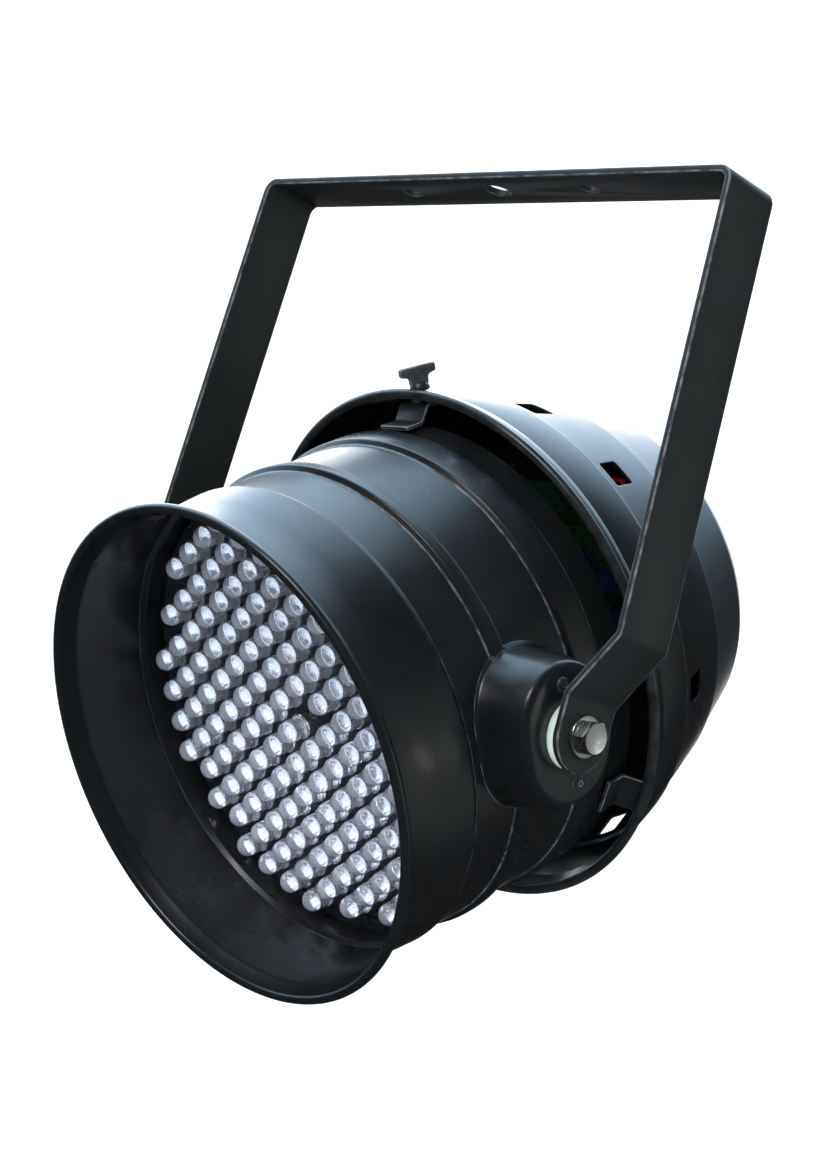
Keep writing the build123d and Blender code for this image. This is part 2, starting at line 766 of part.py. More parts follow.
def make_signal_out():
    """Socket with a slot in its flange for the release tab."""
    shell = socket_shell() - Pos(0, -latch_row, 0) * Box(latch_width + 0.2, latch_depth + 0.2, 12)
    return on_panel(shell, socket_spacing / 2, socket_row)


def make_signal_out_insert():
    """Round insert standing on the socket's floor, with a hole for each of the plug's pins."""
    insert = extrude(Circle(socket_insert_radius), socket_insert_length)
    for x, y in contact_places(180):
        insert -= Pos(x, y, contact_lift) * Cylinder(contact_outside, 20,
                                                     align=(Align.CENTER, Align.CENTER, Align.MIN))
    return on_panel(Pos(0, 0, socket_floor) * insert, socket_spacing / 2, socket_row)


def make_signal_out_contacts():
    """A metal tube at the bottom of each of the insert's holes."""
    tubes = [Pos(x, y, socket_floor + contact_lift) * ring(contact_outside, contact_radius, 6)
             for x, y in contact_places(180)]
    return group([on_panel(tube, socket_spacing / 2, socket_row) for tube in tubes])


def make_latch_tab():
    crown = socket_flange_thickness + latch_travel + 0.8
    tab = box_between((-latch_width / 2, latch_width / 2),
                      (-latch_row - latch_depth / 2, -latch_row + latch_depth / 2), (-4, crown))
    tab = fillet(tab.edges().group_by(Axis.Z)[-1], 0.6)
    return on_panel(tab, socket_spacing / 2, socket_row)


def on_panel(shape, x, z):
    """Stand a shape drawn along Z on the outside of the panel."""
    return Pos(x, panel_outer, z) * Rot(-90, 0, 0) * shape


def make_gland_body():
    hexagon = extrude(RegularPolygon(gland_flats / 2, 6, major_radius=False), gland_hexagon_height)
    hexagon += risen(gland_thread_radius, gland_nose_length, gland_hexagon_height)
    hexagon += hung(gland_thread_radius, panel_thickness + gland_tail_length)
    return on_panel(hexagon - Cylinder(gland_bore_radius, 60), gland_offset, gland_row)


def make_gland_dome():
    """Dome nut that squeezes the seal, screwed over the gland body's outer thread."""
    nut = extrude(RegularPolygon(gland_flats / 2, 6, major_radius=False), gland_nut_height)
    dome = Cone(gland_flats / 2 - 0.3, gland_bore_radius + 2.2, gland_dome_height,
                align=(Align.CENTER, Align.CENTER, Align.MIN))
    whole = Pos(0, 0, gland_hexagon_height + 0.3) * (nut + Pos(0, 0, gland_nut_height) * dome)
    whole -= risen(gland_thread_radius, gland_nose_length + 0.6, gland_hexagon_height)
    return on_panel(whole - Cylinder(gland_bore_radius, 60), gland_offset, gland_row)


def make_gland_locknut():
    face = RegularPolygon(gland_flats / 2, 6, major_radius=False) - Circle(gland_thread_radius)
    return along_y(extrude(face, gland_locknut_height), gland_offset, panel_inner - gland_locknut_height,
                   gland_row)


def make_fuse_holder():
    body = hung(fuse_holder_radius, fuse_body_length)
    rim = risen(fuse_cap_radius + 0.9, fuse_rim_thickness)
    bore = risen(fuse_stem_radius, 40, fuse_holder_floor - fuse_body_length)
    return on_panel(body + rim - bore, -gland_offset, gland_row)


def make_fuse_cap():
    """Slotted bayonet cap with a hollow stem over the fuse's end."""
    underside = fuse_rim_thickness + 0.2
    knob = fillet(risen(fuse_cap_radius, fuse_cap_height, underside).edges().group_by(Axis.Z)[-1], 0.9)
    knob -= Pos(0, 0, underside + fuse_cap_height) * Box(fuse_cap_radius * 1.5, 1.4, 2.4)
    stem = hung(fuse_stem_radius - running_clearance, 8, underside)
    socket = hung(fuse_radius + 0.3, 10, 0.6)
    return on_panel(knob + stem - socket, -gland_offset, gland_row)


def make_fuse():
    tube = Cylinder(fuse_radius, fuse_length, align=(Align.CENTER, Align.CENTER, Align.MAX))
    return on_panel(Pos(0, 0, 0.3) * tube, -gland_offset, gland_row)


# ================================================================ power supply
supply_face = panel_inner - supply_board_depth
supply_front = supply_face - board_thickness


def supply_post_places():
    x, z = supply_board_width / 2 - 5, supply_board_height / 2 - 5
    return [(i * x, j * z) for i in (-1, 1) for j in (-1, 1)]


def make_supply_board():
    board = box_between((-supply_board_width / 2, supply_board_width / 2), (supply_front, supply_face),
                        (-supply_board_height / 2, supply_board_height / 2))
    for x, z in supply_post_places():
        board -= along_y(Cylinder(small_screw_radius, 10), x, supply_face, z)
    return board


def make_supply_posts():
    post = extrude(RegularPolygon(3, 6, major_radius=False), supply_board_depth)
    return group([along_y(post, x, supply_face, z) for x, z in supply_post_places()])


def supply_box(x, z, width, height, depth):
    return box_between((x - width / 2, x + width / 2), (supply_front - depth, supply_front),
                       (z - height / 2, z + height / 2))


def make_transformer_core():
    core = supply_box(-12, 4, 34, 30, 26)
    return core - box_between((-25, 1), (supply_front - 22, supply_front - 4), (-20, 30))


def make_transformer_winding():
    return box_between((-24.6, 0.6), (supply_front - 21.6, supply_front - 4.4), (-6, 14))


def make_supply_capacitors():
    pieces = [Pos(x, supply_front, z) * Rot(90, 0, 0) * capacitor(radius, height)
              for x, z, radius, height in ((22, 16, 9, 26), (42, 14, 6, 20), (42, -4, 6, 20))]
    return group(pieces)


def make_supply_heatsink():
    """Extruded fins on a base plate."""
    base = supply_box(-44, 0, 3, 50, 24)
    fins = [supply_box(-41, z, 7, 2, 24) for z in (-24, -12, 0, 12, 24)]
    return base + fins


def make_mains_terminal():
    block = supply_box(22, -24, 24, 11, 12)
    for i in range(3):
        x = 22 - 7.5 + 7.5 * i
        block -= box_between((x - 2.4, x + 2.4), (supply_front - 9, supply_front - 3), (-31, -24))
        block -= Pos(x, supply_front - 12, -22.5) * Rot(90, 0, 0) * Cylinder(2, 6)
    return block


# ================================================================ everything, node by node
def build_all():
    envelope = make_barrel_envelope()
    barrel = make_barrel()
    cap = make_rear_cap()
    ear = make_ear(envelope)
    bolt = make_pivot_bolt()
    nut_plate = make_nut_plate()

    top_bracket = make_catch_bracket()
    rest_angles = (120, 240)
    rests = [make_rest_bracket(angle) for angle in rest_angles]
    rivets = []
    for angle, bracket in zip((0,) + rest_angles, [top_bracket] + rests):
        barrel -= bracket_rivet_hole(angle)
        rivet = outwards(pop_rivet(bracket_thickness + can_wall), body_radius + bracket_thickness,
                         bracket_rivet_place(), angle)
        rivets.append((rivet, bracket))

    can = {
        "barrel": barrel,
        "ear_right": ear,
        "ear_left": mirror(ear, Plane.YZ),
        "pivot_nut_plates": group([nut_plate, mirror(nut_plate, Plane.YZ)]),
        "ear_rivets": make_ear_rivets(),
        "pivot_bolt_right": bolt,
        "pivot_bolt_left": mirror(bolt, Plane.YZ),
        "cap_catch_bracket": top_bracket,
        "cap_rest_brackets": group(rests),
        "cap_bracket_rivets": group([rivet - barrel - bracket for rivet, bracket in rivets]),
        "led_board": make_led_board(),
        "leds": make_leds(),
        "led_board_brackets": make_led_board_brackets(),
        "led_board_screws": group([front_screw(x, z, 6) for x, z in board_screw_places()]),
        "centre_screw": front_screw(0, 0, 8),
        "board_spacer": make_spacer(),
        "board_headers": make_board_headers(),
        "driver_board": make_driver_board(),
        "driver_screw": make_driver_screw(),
        "driver_transistors": make_driver_transistors(),
        "driver_capacitors": make_driver_capacitors(),
        "driver_connector": make_driver_connector(),
        "rear_cap": cap,
        "cap_nut": make_cap_nut(),
        "thumb_screw": make_thumb_screw(),
        "rear_panel": make_rear_panel(),
        "panel_screws": group([rear_screw(x, z, panel_outer, 6) for x, z in panel_screw_places()]),
        "display_window": make_display_window(),
        "display_module": make_display_module(),
        "control_board": make_control_board(),
        "control_posts": make_control_posts(),
        "key_switches": make_key_switches(),
        "signal_in_socket": make_signal_in(),
        "signal_in_pins": make_signal_in_pins(),
        "signal_out_socket": make_signal_out(),
        "signal_out_insert": make_signal_out_insert(),
        "signal_out_contacts": make_signal_out_contacts(),
        "release_tab": make_latch_tab(),
        "socket_screws": group([rear_screw(x, z, panel_outer + socket_flange_thickness, 7)
                                for x, z in socket_screw_places()]),
        "gland_body": make_gland_body(),
        "gland_dome_nut": make_gland_dome(),
        "gland_locknut": make_gland_locknut(),
        "fuse_holder": make_fuse_holder(),
        "fuse": make_fuse(),
        "fuse_cap": make_fuse_cap(),
        "supply_board": make_supply_board(),
        "supply_posts": make_supply_posts(),
        "transformer_core": make_transformer_core(),
        "transformer_winding": make_transformer_winding(),
        "supply_capacitors": make_supply_capacitors(),
        "supply_heatsink": make_supply_heatsink(),
        "mains_terminal": make_mains_terminal(),
    }
    for number, (x, z) in enumerate(button_places(), start=1):
        can[f"menu_button_{number}"] = make_button(x, z)

    nodes = {name: can_place(shape) for name, shape in can.items()}
    nodes["yoke"] = make_yoke()
    nodes["friction_washers"] = make_pivot_washers(friction_washer_radius, friction_washer_thickness, ear_reach)
    nodes["outer_washers"] = make_pivot_washers(outer_washer_radius, outer_washer_thickness, foot_outer)
    return nodes


os.makedirs("parts", exist_ok=True)
for name, shape in build_all().items():
    export_step(shape, f"parts/{name}.step")
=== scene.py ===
import json
from math import asin, ceil, cos, degrees, pi, radians, sin, sqrt, tan

import bpy
import numpy as np
from mathutils import Matrix, Quaternion, Vector


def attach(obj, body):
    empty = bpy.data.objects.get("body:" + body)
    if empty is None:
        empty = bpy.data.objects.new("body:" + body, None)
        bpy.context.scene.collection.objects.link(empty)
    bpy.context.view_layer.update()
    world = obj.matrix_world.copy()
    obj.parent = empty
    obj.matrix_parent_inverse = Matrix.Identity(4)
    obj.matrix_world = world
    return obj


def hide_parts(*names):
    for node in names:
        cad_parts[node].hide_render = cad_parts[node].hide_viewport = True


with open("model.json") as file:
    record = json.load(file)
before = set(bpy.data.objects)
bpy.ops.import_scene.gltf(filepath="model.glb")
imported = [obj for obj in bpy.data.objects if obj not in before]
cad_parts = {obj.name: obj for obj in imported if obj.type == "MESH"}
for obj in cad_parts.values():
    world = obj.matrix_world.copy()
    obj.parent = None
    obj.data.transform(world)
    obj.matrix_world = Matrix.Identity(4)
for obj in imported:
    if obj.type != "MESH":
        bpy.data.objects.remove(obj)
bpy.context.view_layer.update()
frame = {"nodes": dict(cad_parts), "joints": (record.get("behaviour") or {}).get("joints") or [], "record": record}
nodes = frame["nodes"]

# Sizes are in millimetres unless a name says otherwise. The head is made in the can's own frame:
# its origin is where the pivot line meets the can's axis, Y runs along the axis to the rear and X
# along the pivots. Angles round the can start at its top and turn towards +X.
# A point of an outline is (radius, place along the axis).
MM = 0.001
joints = {joint["name"]: joint for joint in frame["joints"]}
pivot = Vector(joints["head_tilt"]["pos_m"])
can_side = Vector((1, 0, 0))
can_rear = Vector(joints["cap_slide"]["axis"]).normalized()
can_up = can_side.cross(can_rear)
CAN = Matrix.Translation(pivot) @ Matrix((can_side, can_rear, can_up)).transposed().to_4x4()


# ================================================================ camera, floor and light
def add_camera():
    data = bpy.data.cameras.new("camera")
    camera = bpy.data.objects.new("camera", data)
    bpy.context.scene.collection.objects.link(camera)
    data.lens = 75
    place, aim = Vector((0.7655, -0.7157, -0.3157)), Vector((0.0095, 0.0023, -0.1835))
    roll = radians(15.69)
    look = (aim - place).to_track_quat("-Z", "Y")
    camera.rotation_mode = "QUATERNION"
    camera.location = place
    camera.rotation_quaternion = look @ Quaternion((0, 0, 1), roll)
    bpy.context.scene.camera = camera


def add_softbox(name, place, aim, width, height, radiance, colour):
    """A soft rectangular light, in metres, of a given brightness when looked at."""
    data = bpy.data.lights.new(name, "AREA")
    data.shape = "RECTANGLE"
    data.size, data.size_y = width, height
    data.energy = radiance * pi * width * height
    data.color = colour
    light = bpy.data.objects.new(name, data)
    bpy.context.scene.collection.objects.link(light)
    light.location = place
    light.rotation_mode = "QUATERNION"
    light.rotation_quaternion = (Vector(aim) - Vector(place)).to_track_quat("-Z", "Y")


# ================================================================ material helpers
def link(tree, source, target):
    tree.links.new(source, target)


def new_group(name, inputs, outputs):
    """A shader node group; inputs are (name, kind, default), outputs are (name, kind)."""
    tree = bpy.data.node_groups.new(name, "ShaderNodeTree")
    for label, kind, default in inputs:
        socket = tree.interface.new_socket(label, in_out="INPUT", socket_type=kind)
        socket.default_value = default
    for label, kind in outputs:
        tree.interface.new_socket(label, in_out="OUTPUT", socket_type=kind)
    return tree, tree.nodes.new("NodeGroupInput"), tree.nodes.new("NodeGroupOutput")


FLOAT, COLOUR = "NodeSocketFloat", "NodeSocketColor"


def noise(tree, scale, detail=3.0, roughness=0.5, vector=None):
    """A noise value over the piece's own coordinates, in metres."""
    node = tree.nodes.new("ShaderNodeTexNoise")
    node.inputs["Detail"].default_value = detail
    node.inputs["Roughness"].default_value = roughness
    if isinstance(scale, (int, float)):
        node.inputs["Scale"].default_value = scale
    else:
        link(tree, scale, node.inputs["Scale"])
    if vector is None:
        vector = tree.nodes.new("ShaderNodeTexCoord").outputs["Object"]
    link(tree, vector, node.inputs["Vector"])
    return node.outputs["Fac"]


def ranged(tree, value, low, high, to_low=0.0, to_high=1.0):
    """The value spread from low..high onto to_low..to_high; any of them may be a socket."""
    node = tree.nodes.new("ShaderNodeMapRange")
    for label, given in (("Value", value), ("From Min", low), ("From Max", high),
                         ("To Min", to_low), ("To Max", to_high)):
        if isinstance(given, (int, float)):
            node.inputs[label].default_value = given
        else:
            link(tree, given, node.inputs[label])
    return node.outputs["Result"]


def maths(tree, operation, *values):
    node = tree.nodes.new("ShaderNodeMath")
    node.operation = operation
    for socket, given in zip(node.inputs, values):
        if isinstance(given, (int, float)):
            socket.default_value = given
        else:
            link(tree, given, socket)
    return node.outputs["Value"]


def mixed(tree, share, first, second):
    """Two colours mixed by a mask; a colour may be a tuple or a socket."""
    node = tree.nodes.new("ShaderNodeMix")
    node.data_type = "RGBA"
    link(tree, share, node.inputs["Factor"])
    for socket, given in ((node.inputs[6], first), (node.inputs[7], second)):
        if isinstance(given, tuple):
            socket.default_value = (*given, 1.0)
        else:
            link(tree, given, socket)
    return node.outputs[2]


def paint_skin_group():
    """The skin of sprayed paint: orange peel for the height, and hazier and clearer areas."""
    tree, given, made = new_group("paint_skin", (("Peel Scale", FLOAT, 900.0), ("Clear", FLOAT, 0.3),
                                                 ("Hazy", FLOAT, 0.45)),
                                  (("Height", FLOAT), ("Roughness", FLOAT)))
    peel = noise(tree, given.outputs["Peel Scale"], 2.0)
    haze = noise(tree, 14.0, 4.0, 0.6)
    link(tree, peel, made.inputs["Height"])
    link(tree, ranged(tree, haze, 0.35, 0.68, given.outputs["Clear"], given.outputs["Hazy"]),
         made.inputs["Roughness"])
    return tree


def spun_lines_group():
    """Fine rings round the can's axis, as spinning leaves in the sheet."""
    tree, given, made = new_group("spun_lines", (("Ring Scale", FLOAT, 600.0),), (("Height", FLOAT),))
    can_place = tree.nodes.new("ShaderNodeMapping")
    can_place.vector_type = "TEXTURE"
    can_place.inputs["Location"].default_value = pivot
    can_place.inputs["Rotation"].default_value = CAN.to_euler()
    link(tree, tree.nodes.new("ShaderNodeTexCoord").outputs["Object"], can_place.inputs["Vector"])
    split = tree.nodes.new("ShaderNodeSeparateXYZ")
    link(tree, can_place.outputs[0], split.inputs[0])
    x, y, z = split.outputs
    squares = maths(tree, "ADD", maths(tree, "MULTIPLY", x, x), maths(tree, "MULTIPLY", z, z))
    radius = maths(tree, "SQRT", squares)
    along = tree.nodes.new("ShaderNodeCombineXYZ")
    link(tree, y, along.inputs[0])
    link(tree, radius, along.inputs[1])
    link(tree, maths(tree, "MULTIPLY", maths(tree, "ARCTAN2", x, z), 0.0004), along.inputs[2])
    link(tree, noise(tree, given.outputs["Ring Scale"], 2.0, 0.5, along.outputs[0]), made.inputs["Height"])
    return tree


def rubbed_and_lit_edges_group():
    """Edges lightened on tight outside curves, partly wear and partly painted highlight, broken up by noise."""
    tree, given, made = new_group("rubbed_and_lit_edges", (("Tight", FLOAT, 1.6), ("Slack", FLOAT, 0.5),
                                                   ("Patches", FLOAT, 160.0)), (("Mask", FLOAT),))
    curve = tree.nodes.new("ShaderNodeAttribute")
    curve.attribute_name = "outside_curve"
    sharp = ranged(tree, curve.outputs["Fac"], given.outputs["Slack"], given.outputs["Tight"])
    patches = ranged(tree, noise(tree, given.outputs["Patches"], 5.0, 0.65), 0.4, 0.62, 0.15, 1.0)
    link(tree, maths(tree, "MULTIPLY", sharp, patches), made.inputs["Mask"])
    return tree


def settled_dust_group():
    """Dust lying on what faces up, in soft patches."""
    tree, given, made = new_group("settled_dust", (("Amount", FLOAT, 0.3),), (("Mask", FLOAT),))
    split = tree.nodes.new("ShaderNodeSeparateXYZ")
    link(tree, tree.nodes.new("ShaderNodeNewGeometry").outputs["Normal"], split.inputs[0])
    facing = ranged(tree, split.outputs["Z"], 0.25, 1.0)
    patches = ranged(tree, noise(tree, 40.0, 6.0, 0.7), 0.35, 0.75)
    link(tree, maths(tree, "MULTIPLY", maths(tree, "MULTIPLY", facing, patches), given.outputs["Amount"]),
         made.inputs["Mask"])
    return tree


def plating_bloom_group():
    """Bright plating: faint warm and cool patches, fine scratches and a little grain."""
    tree, given, made = new_group("plating_bloom", (("Warm", COLOUR, (0.75, 0.72, 0.6, 1)),
                                                    ("Cool", COLOUR, (0.66, 0.7, 0.74, 1)),
                                                    ("Scratches", FLOAT, 700.0)),
                                  (("Colour", COLOUR), ("Roughness", FLOAT), ("Height", FLOAT)))
    bloom = ranged(tree, noise(tree, 120.0, 3.0), 0.35, 0.65)
    marks = noise(tree, given.outputs["Scratches"], 6.0, 0.7)
    link(tree, mixed(tree, bloom, given.outputs["Cool"], given.outputs["Warm"]), made.inputs["Colour"])
    link(tree, ranged(tree, marks, 0.3, 0.7, 0.16, 0.38), made.inputs["Roughness"])
    link(tree, marks, made.inputs["Height"])
    return tree


def moulded_grain_group():
    """The fine spark grain of a moulded part, with slightly shinier handled areas."""
    tree, given, made = new_group("moulded_grain", (("Grain Scale", FLOAT, 1600.0), ("Smooth", FLOAT, 0.35),
                                                    ("Rough", FLOAT, 0.55)),
                                  (("Height", FLOAT), ("Roughness", FLOAT), ("Mask", FLOAT)))
    link(tree, noise(tree, given.outputs["Grain Scale"], 2.0), made.inputs["Height"])
    patches = ranged(tree, noise(tree, 60.0, 3.0), 0.35, 0.65)
    link(tree, ranged(tree, patches, 0.0, 1.0, given.outputs["Smooth"], given.outputs["Rough"]),
         made.inputs["Roughness"])
    link(tree, patches, made.inputs["Mask"])
    return tree


def copper_tracks_group():
    """Tracks lying under a circuit board's lacquer."""
    tree, given, made = new_group("copper_tracks", (("Track Scale", FLOAT, 260.0),), (("Mask", FLOAT),))
    brick = tree.nodes.new("ShaderNodeTexBrick")
    brick.offset, brick.squash = 0.37, 1.6
    brick.inputs["Color1"].default_value = (1, 1, 1, 1)
    brick.inputs["Color2"].default_value = (0.4, 0.4, 0.4, 1)
    brick.inputs["Mortar"].default_value = (0, 0, 0, 1)
    brick.inputs["Mortar Size"].default_value = 0.035
    turned = tree.nodes.new("ShaderNodeMapping")
    turned.inputs["Rotation"].default_value = (radians(-55), 0, 0)
    link(tree, tree.nodes.new("ShaderNodeTexCoord").outputs["Object"], turned.inputs["Vector"])
    link(tree, turned.outputs[0], brick.inputs["Vector"])
    link(tree, given.outputs["Track Scale"], brick.inputs["Scale"])
    link(tree, brick.outputs["Color"], made.inputs["Mask"])
    return tree


effects = {group.name: group for group in (
    paint_skin_group(), spun_lines_group(), rubbed_and_lit_edges_group(), settled_dust_group(), plating_bloom_group(),
    moulded_grain_group(), copper_tracks_group())}


def effect(tree, name, **values):
    node = tree.nodes.new("ShaderNodeGroup")
    node.node_tree = effects[name]
    for label, value in values.items():
        node.inputs[label.replace("_", " ")].default_value = value
    return node.outputs


slots = {}


def start_finish(name):
    """A new finish, kept in slots under the name of the material slot that it serves."""
    material = bpy.data.materials.new(name)
    slots[name] = material
    material.use_nodes = True
    tree = material.node_tree
    return material, tree, tree.nodes["Principled BSDF"].inputs


def bumped(tree, surface, height, strength, depth=0.0001):
    node = tree.nodes.new("ShaderNodeBump")
    node.inputs["Strength"].default_value = strength
    node.inputs["Distance"].default_value = depth
    link(tree, height, node.inputs["Height"])
    link(tree, node.outputs["Normal"], surface["Normal"])


def paint(name, colour, bare_and_lit, clear, hazy, peel=900.0, bump=0.15, edge_wear_and_light=(0.5, 1.6), rings=0.0, dust=0.07,
          coat=0.0, dusted=(0.16, 0.155, 0.145)):
    """Sprayed black paint: peel, haze, edges lightened partly by wear and partly by painted highlight, dust, and
    spinning rings on the spun sheets.
    """
    material, tree, surface = start_finish(name)
    skin = effect(tree, "paint_skin", Peel_Scale=peel, Clear=clear, Hazy=hazy)
    rubbed_and_lit = effect(tree, "rubbed_and_lit_edges", Slack=edge_wear_and_light[0], Tight=edge_wear_and_light[1])["Mask"]
    lying = effect(tree, "settled_dust", Amount=dust)["Mask"]
    shade = ranged(tree, noise(tree, 30.0, 4.0), 0.3, 0.7)
    body = mixed(tree, shade, colour, tuple(c * 1.35 for c in colour))
    # The edges take the bare colour: partly wear through the paint, partly painted highlight where light catches
    # them.
    body = mixed(tree, rubbed_and_lit, body, bare_and_lit)
    link(tree, mixed(tree, lying, body, dusted), surface["Base Color"])
    link(tree, ranged(tree, lying, 0.0, 1.0, skin["Roughness"], 0.8), surface["Roughness"])
    height = skin["Height"]
    if rings:
        lines = effect(tree, "spun_lines", Ring_Scale=520.0)["Height"]
        height = maths(tree, "ADD", height, maths(tree, "MULTIPLY", lines, rings))
    bumped(tree, surface, height, bump)
    surface["Specular IOR Level"].default_value = 0.5
    surface["Coat Weight"].default_value = coat
    surface["Coat Roughness"].default_value = 0.12
    return material


def plated(name, warm, cool, scratches=700.0, bump=0.08):
    material, tree, surface = start_finish(name)
    bloom = effect(tree, "plating_bloom", Warm=(*warm, 1), Cool=(*cool, 1), Scratches=scratches)
    rubbed_and_lit = effect(tree, "rubbed_and_lit_edges", Slack=0.8, Tight=2.4)["Mask"]
    # Edges lightened to pale metal: partly wear, partly painted highlight.
    link(tree, mixed(tree, rubbed_and_lit, bloom["Colour"], (0.86, 0.86, 0.84)), surface["Base Color"])
    link(tree, bloom["Roughness"], surface["Roughness"])
    bumped(tree, surface, bloom["Height"], bump)
    surface["Metallic"].default_value = 1.0
    return material


def moulded(name, colour, smooth, rough, worn_and_lit=None, grain=1600.0, bump=0.2):
    material, tree, surface = start_finish(name)
    skin = effect(tree, "moulded_grain", Grain_Scale=grain, Smooth=smooth, Rough=rough)
    rubbed_and_lit = effect(tree, "rubbed_and_lit_edges", Slack=0.9, Tight=3.0)["Mask"]
    body = mixed(tree, skin["Mask"], colour, tuple(c * 0.8 for c in colour))
    worn_and_lit = worn_and_lit or tuple(min(1.0, c * 1.8 + 0.02) for c in colour)
    # The edges take the lighter colour: partly wear, partly painted highlight.
    link(tree, mixed(tree, rubbed_and_lit, body, worn_and_lit), surface["Base Color"])
    link(tree, skin["Roughness"], surface["Roughness"])
    bumped(tree, surface, skin["Height"], bump)
    return material


def lacquered_board(name, colour, track_colour):
    material, tree, surface = start_finish(name)
    skin = effect(tree, "moulded_grain", Grain_Scale=2500.0, Smooth=0.25, Rough=0.4)
    tracks = effect(tree, "copper_tracks", Track_Scale=180.0)["Mask"]
    lying = effect(tree, "settled_dust", Amount=0.3)["Mask"]
    body = mixed(tree, tracks, colour, track_colour)
    link(tree, mixed(tree, lying, body, (0.2, 0.19, 0.17)), surface["Base Color"])
    link(tree, skin["Roughness"], surface["Roughness"])
    bumped(tree, surface, tracks, 0.3)
    return material


def clear_resin(name, colour, transmission, roughness, ior=1.5):
    """Clear cast or moulded plastic that light goes through, very slightly clouded."""
    material, tree, surface = start_finish(name)
    cloud = ranged(tree, noise(tree, 90.0, 2.0), 0.3, 0.7)
    link(tree, mixed(tree, cloud, colour, tuple(c * 0.9 for c in colour)), surface["Base Color"])
    link(tree, ranged(tree, cloud, 0.0, 1.0, roughness, roughness * 1.8), surface["Roughness"])
    surface["Transmission Weight"].default_value = transmission
    surface["IOR"].default_value = ior
    return material


def stage_finish():
    material, tree, surface = start_finish("pale_sweep")
    tone = ranged(tree, noise(tree, 0.8, 2.0), 0.3, 0.7)
    link(tree, mixed(tree, tone, (0.80, 0.80, 0.80), (0.83, 0.83, 0.825)), surface["Base Color"])
    surface["Roughness"].default_value = 0.9
    surface["Specular IOR Level"].default_value = 0.0
    surface["Emission Color"].default_value = (1, 1, 1, 1)
    surface["Emission Strength"].default_value = 0.42
    return material


# Edge colour of the paints: bare steel where worn through, and painted highlight on the tight edges.
bare_steel_and_edge_light = (0.22, 0.22, 0.21)
can_black = (0.0045, 0.0050, 0.0052)
paint("can_paint", can_black, bare_steel_and_edge_light, 0.24, 0.33, edge_wear_and_light=(0.42, 1.5), rings=0.5, bump=0.10, coat=0.15)
paint("cap_paint", can_black, bare_steel_and_edge_light, 0.25, 0.35, edge_wear_and_light=(0.38, 1.4), rings=0.5, bump=0.10, coat=0.15)
paint("yoke_paint", (0.0085, 0.0090, 0.0082), (0.12, 0.12, 0.115), 0.46, 0.58, peel=1300.0, bump=0.3,
      edge_wear_and_light=(0.25, 1.1), dust=0.05)
paint("bracket_paint", (0.0085, 0.009, 0.009), bare_steel_and_edge_light, 0.3, 0.42, edge_wear_and_light=(0.4, 1.6))
paint("panel_paint", (0.010, 0.0105, 0.0105), bare_steel_and_edge_light, 0.4, 0.52, peel=1400.0, bump=0.3)
paint("black_steel", (0.012, 0.012, 0.013), (0.18, 0.18, 0.18), 0.3, 0.45, peel=2200.0, edge_wear_and_light=(0.5, 1.8),
      dust=0.05)
paint("rivet_black", (0.010, 0.010, 0.011), (0.2, 0.2, 0.2), 0.3, 0.42, peel=2200.0, edge_wear_and_light=(0.9, 2.6),
      dust=0.05)
plated("zinc", (0.78, 0.75, 0.62), (0.70, 0.74, 0.78))
plated("contact_silver", (0.82, 0.8, 0.76), (0.76, 0.78, 0.8), 1500.0)
plated("brass", (0.72, 0.5, 0.2), (0.62, 0.46, 0.22), 900.0)
plated("bare_aluminium", (0.7, 0.7, 0.69), (0.62, 0.63, 0.65), 900.0)
plated("laminations", (0.2, 0.19, 0.18), (0.12, 0.12, 0.13), 1200.0, 0.3)
plated("winding", (0.55, 0.25, 0.1), (0.42, 0.18, 0.08), 1500.0, 0.5)
moulded("friction_fibre", (0.60, 0.65, 0.54), 0.6, 0.8, grain=2400.0)
moulded("connector_plastic", (0.62, 0.6, 0.52), 0.35, 0.5)
moulded("transistor_body", (0.02, 0.02, 0.021), 0.4, 0.55)
moulded("capacitor_sleeve", (0.02, 0.03, 0.09), 0.25, 0.35)
moulded("display_black", (0.012, 0.012, 0.013), 0.35, 0.5)
moulded("socket_body", (0.014, 0.014, 0.015), 0.38, 0.52)
moulded("button_plastic", (0.03, 0.03, 0.032), 0.4, 0.55)
moulded("gland_nylon", (0.016, 0.016, 0.017), 0.42, 0.55)
moulded("terminal_plastic", (0.1, 0.24, 0.12), 0.4, 0.5)
lacquered_board("board_black", (0.006, 0.007, 0.008), (0.014, 0.016, 0.018))
lacquered_board("board_green", (0.008, 0.06, 0.022), (0.02, 0.11, 0.04))
clear_resin("led_clear", (0.90, 0.90, 0.99), 0.82, 0.03)
clear_resin("window_red", (0.11, 0.004, 0.005), 0.8, 0.08)
clear_resin("fuse_glass", (0.95, 0.97, 0.96), 0.95, 0.03)


# ================================================================ shapes
class Form:
    """Points in millimetres and faces, for a piece or part of one."""

    def __init__(self, points=(), faces=()):
        self.points = [Vector(p) for p in points]
        self.faces = [tuple(f) for f in faces]

    def add(self, other, place=None):
        start = len(self.points)
        self.points += [place @ p if place else p.copy() for p in other.points]
        self.faces += [tuple(start + i for i in face) for face in other.faces]
        return self

    def mirrored(self):
        """The same form on the other side of the can."""
        return Form([(-p.x, p.y, p.z) for p in self.points], [face[::-1] for face in self.faces])

    def mesh(self, name):
        mesh = bpy.data.meshes.new(name)
        mesh.from_pydata([p * MM for p in self.points], [], self.faces)
        mesh.validate()
        return mesh


def at(x=0.0, y=0.0, z=0.0):
    return Matrix.Translation((x, y, z))


def turn(angle, axis):
    return Matrix.Rotation(radians(angle), 4, axis)


def copies(form, places):
    """One form repeated at several places."""
    whole = Form()
    for place in places:
        whole.add(form, place)
    return whole


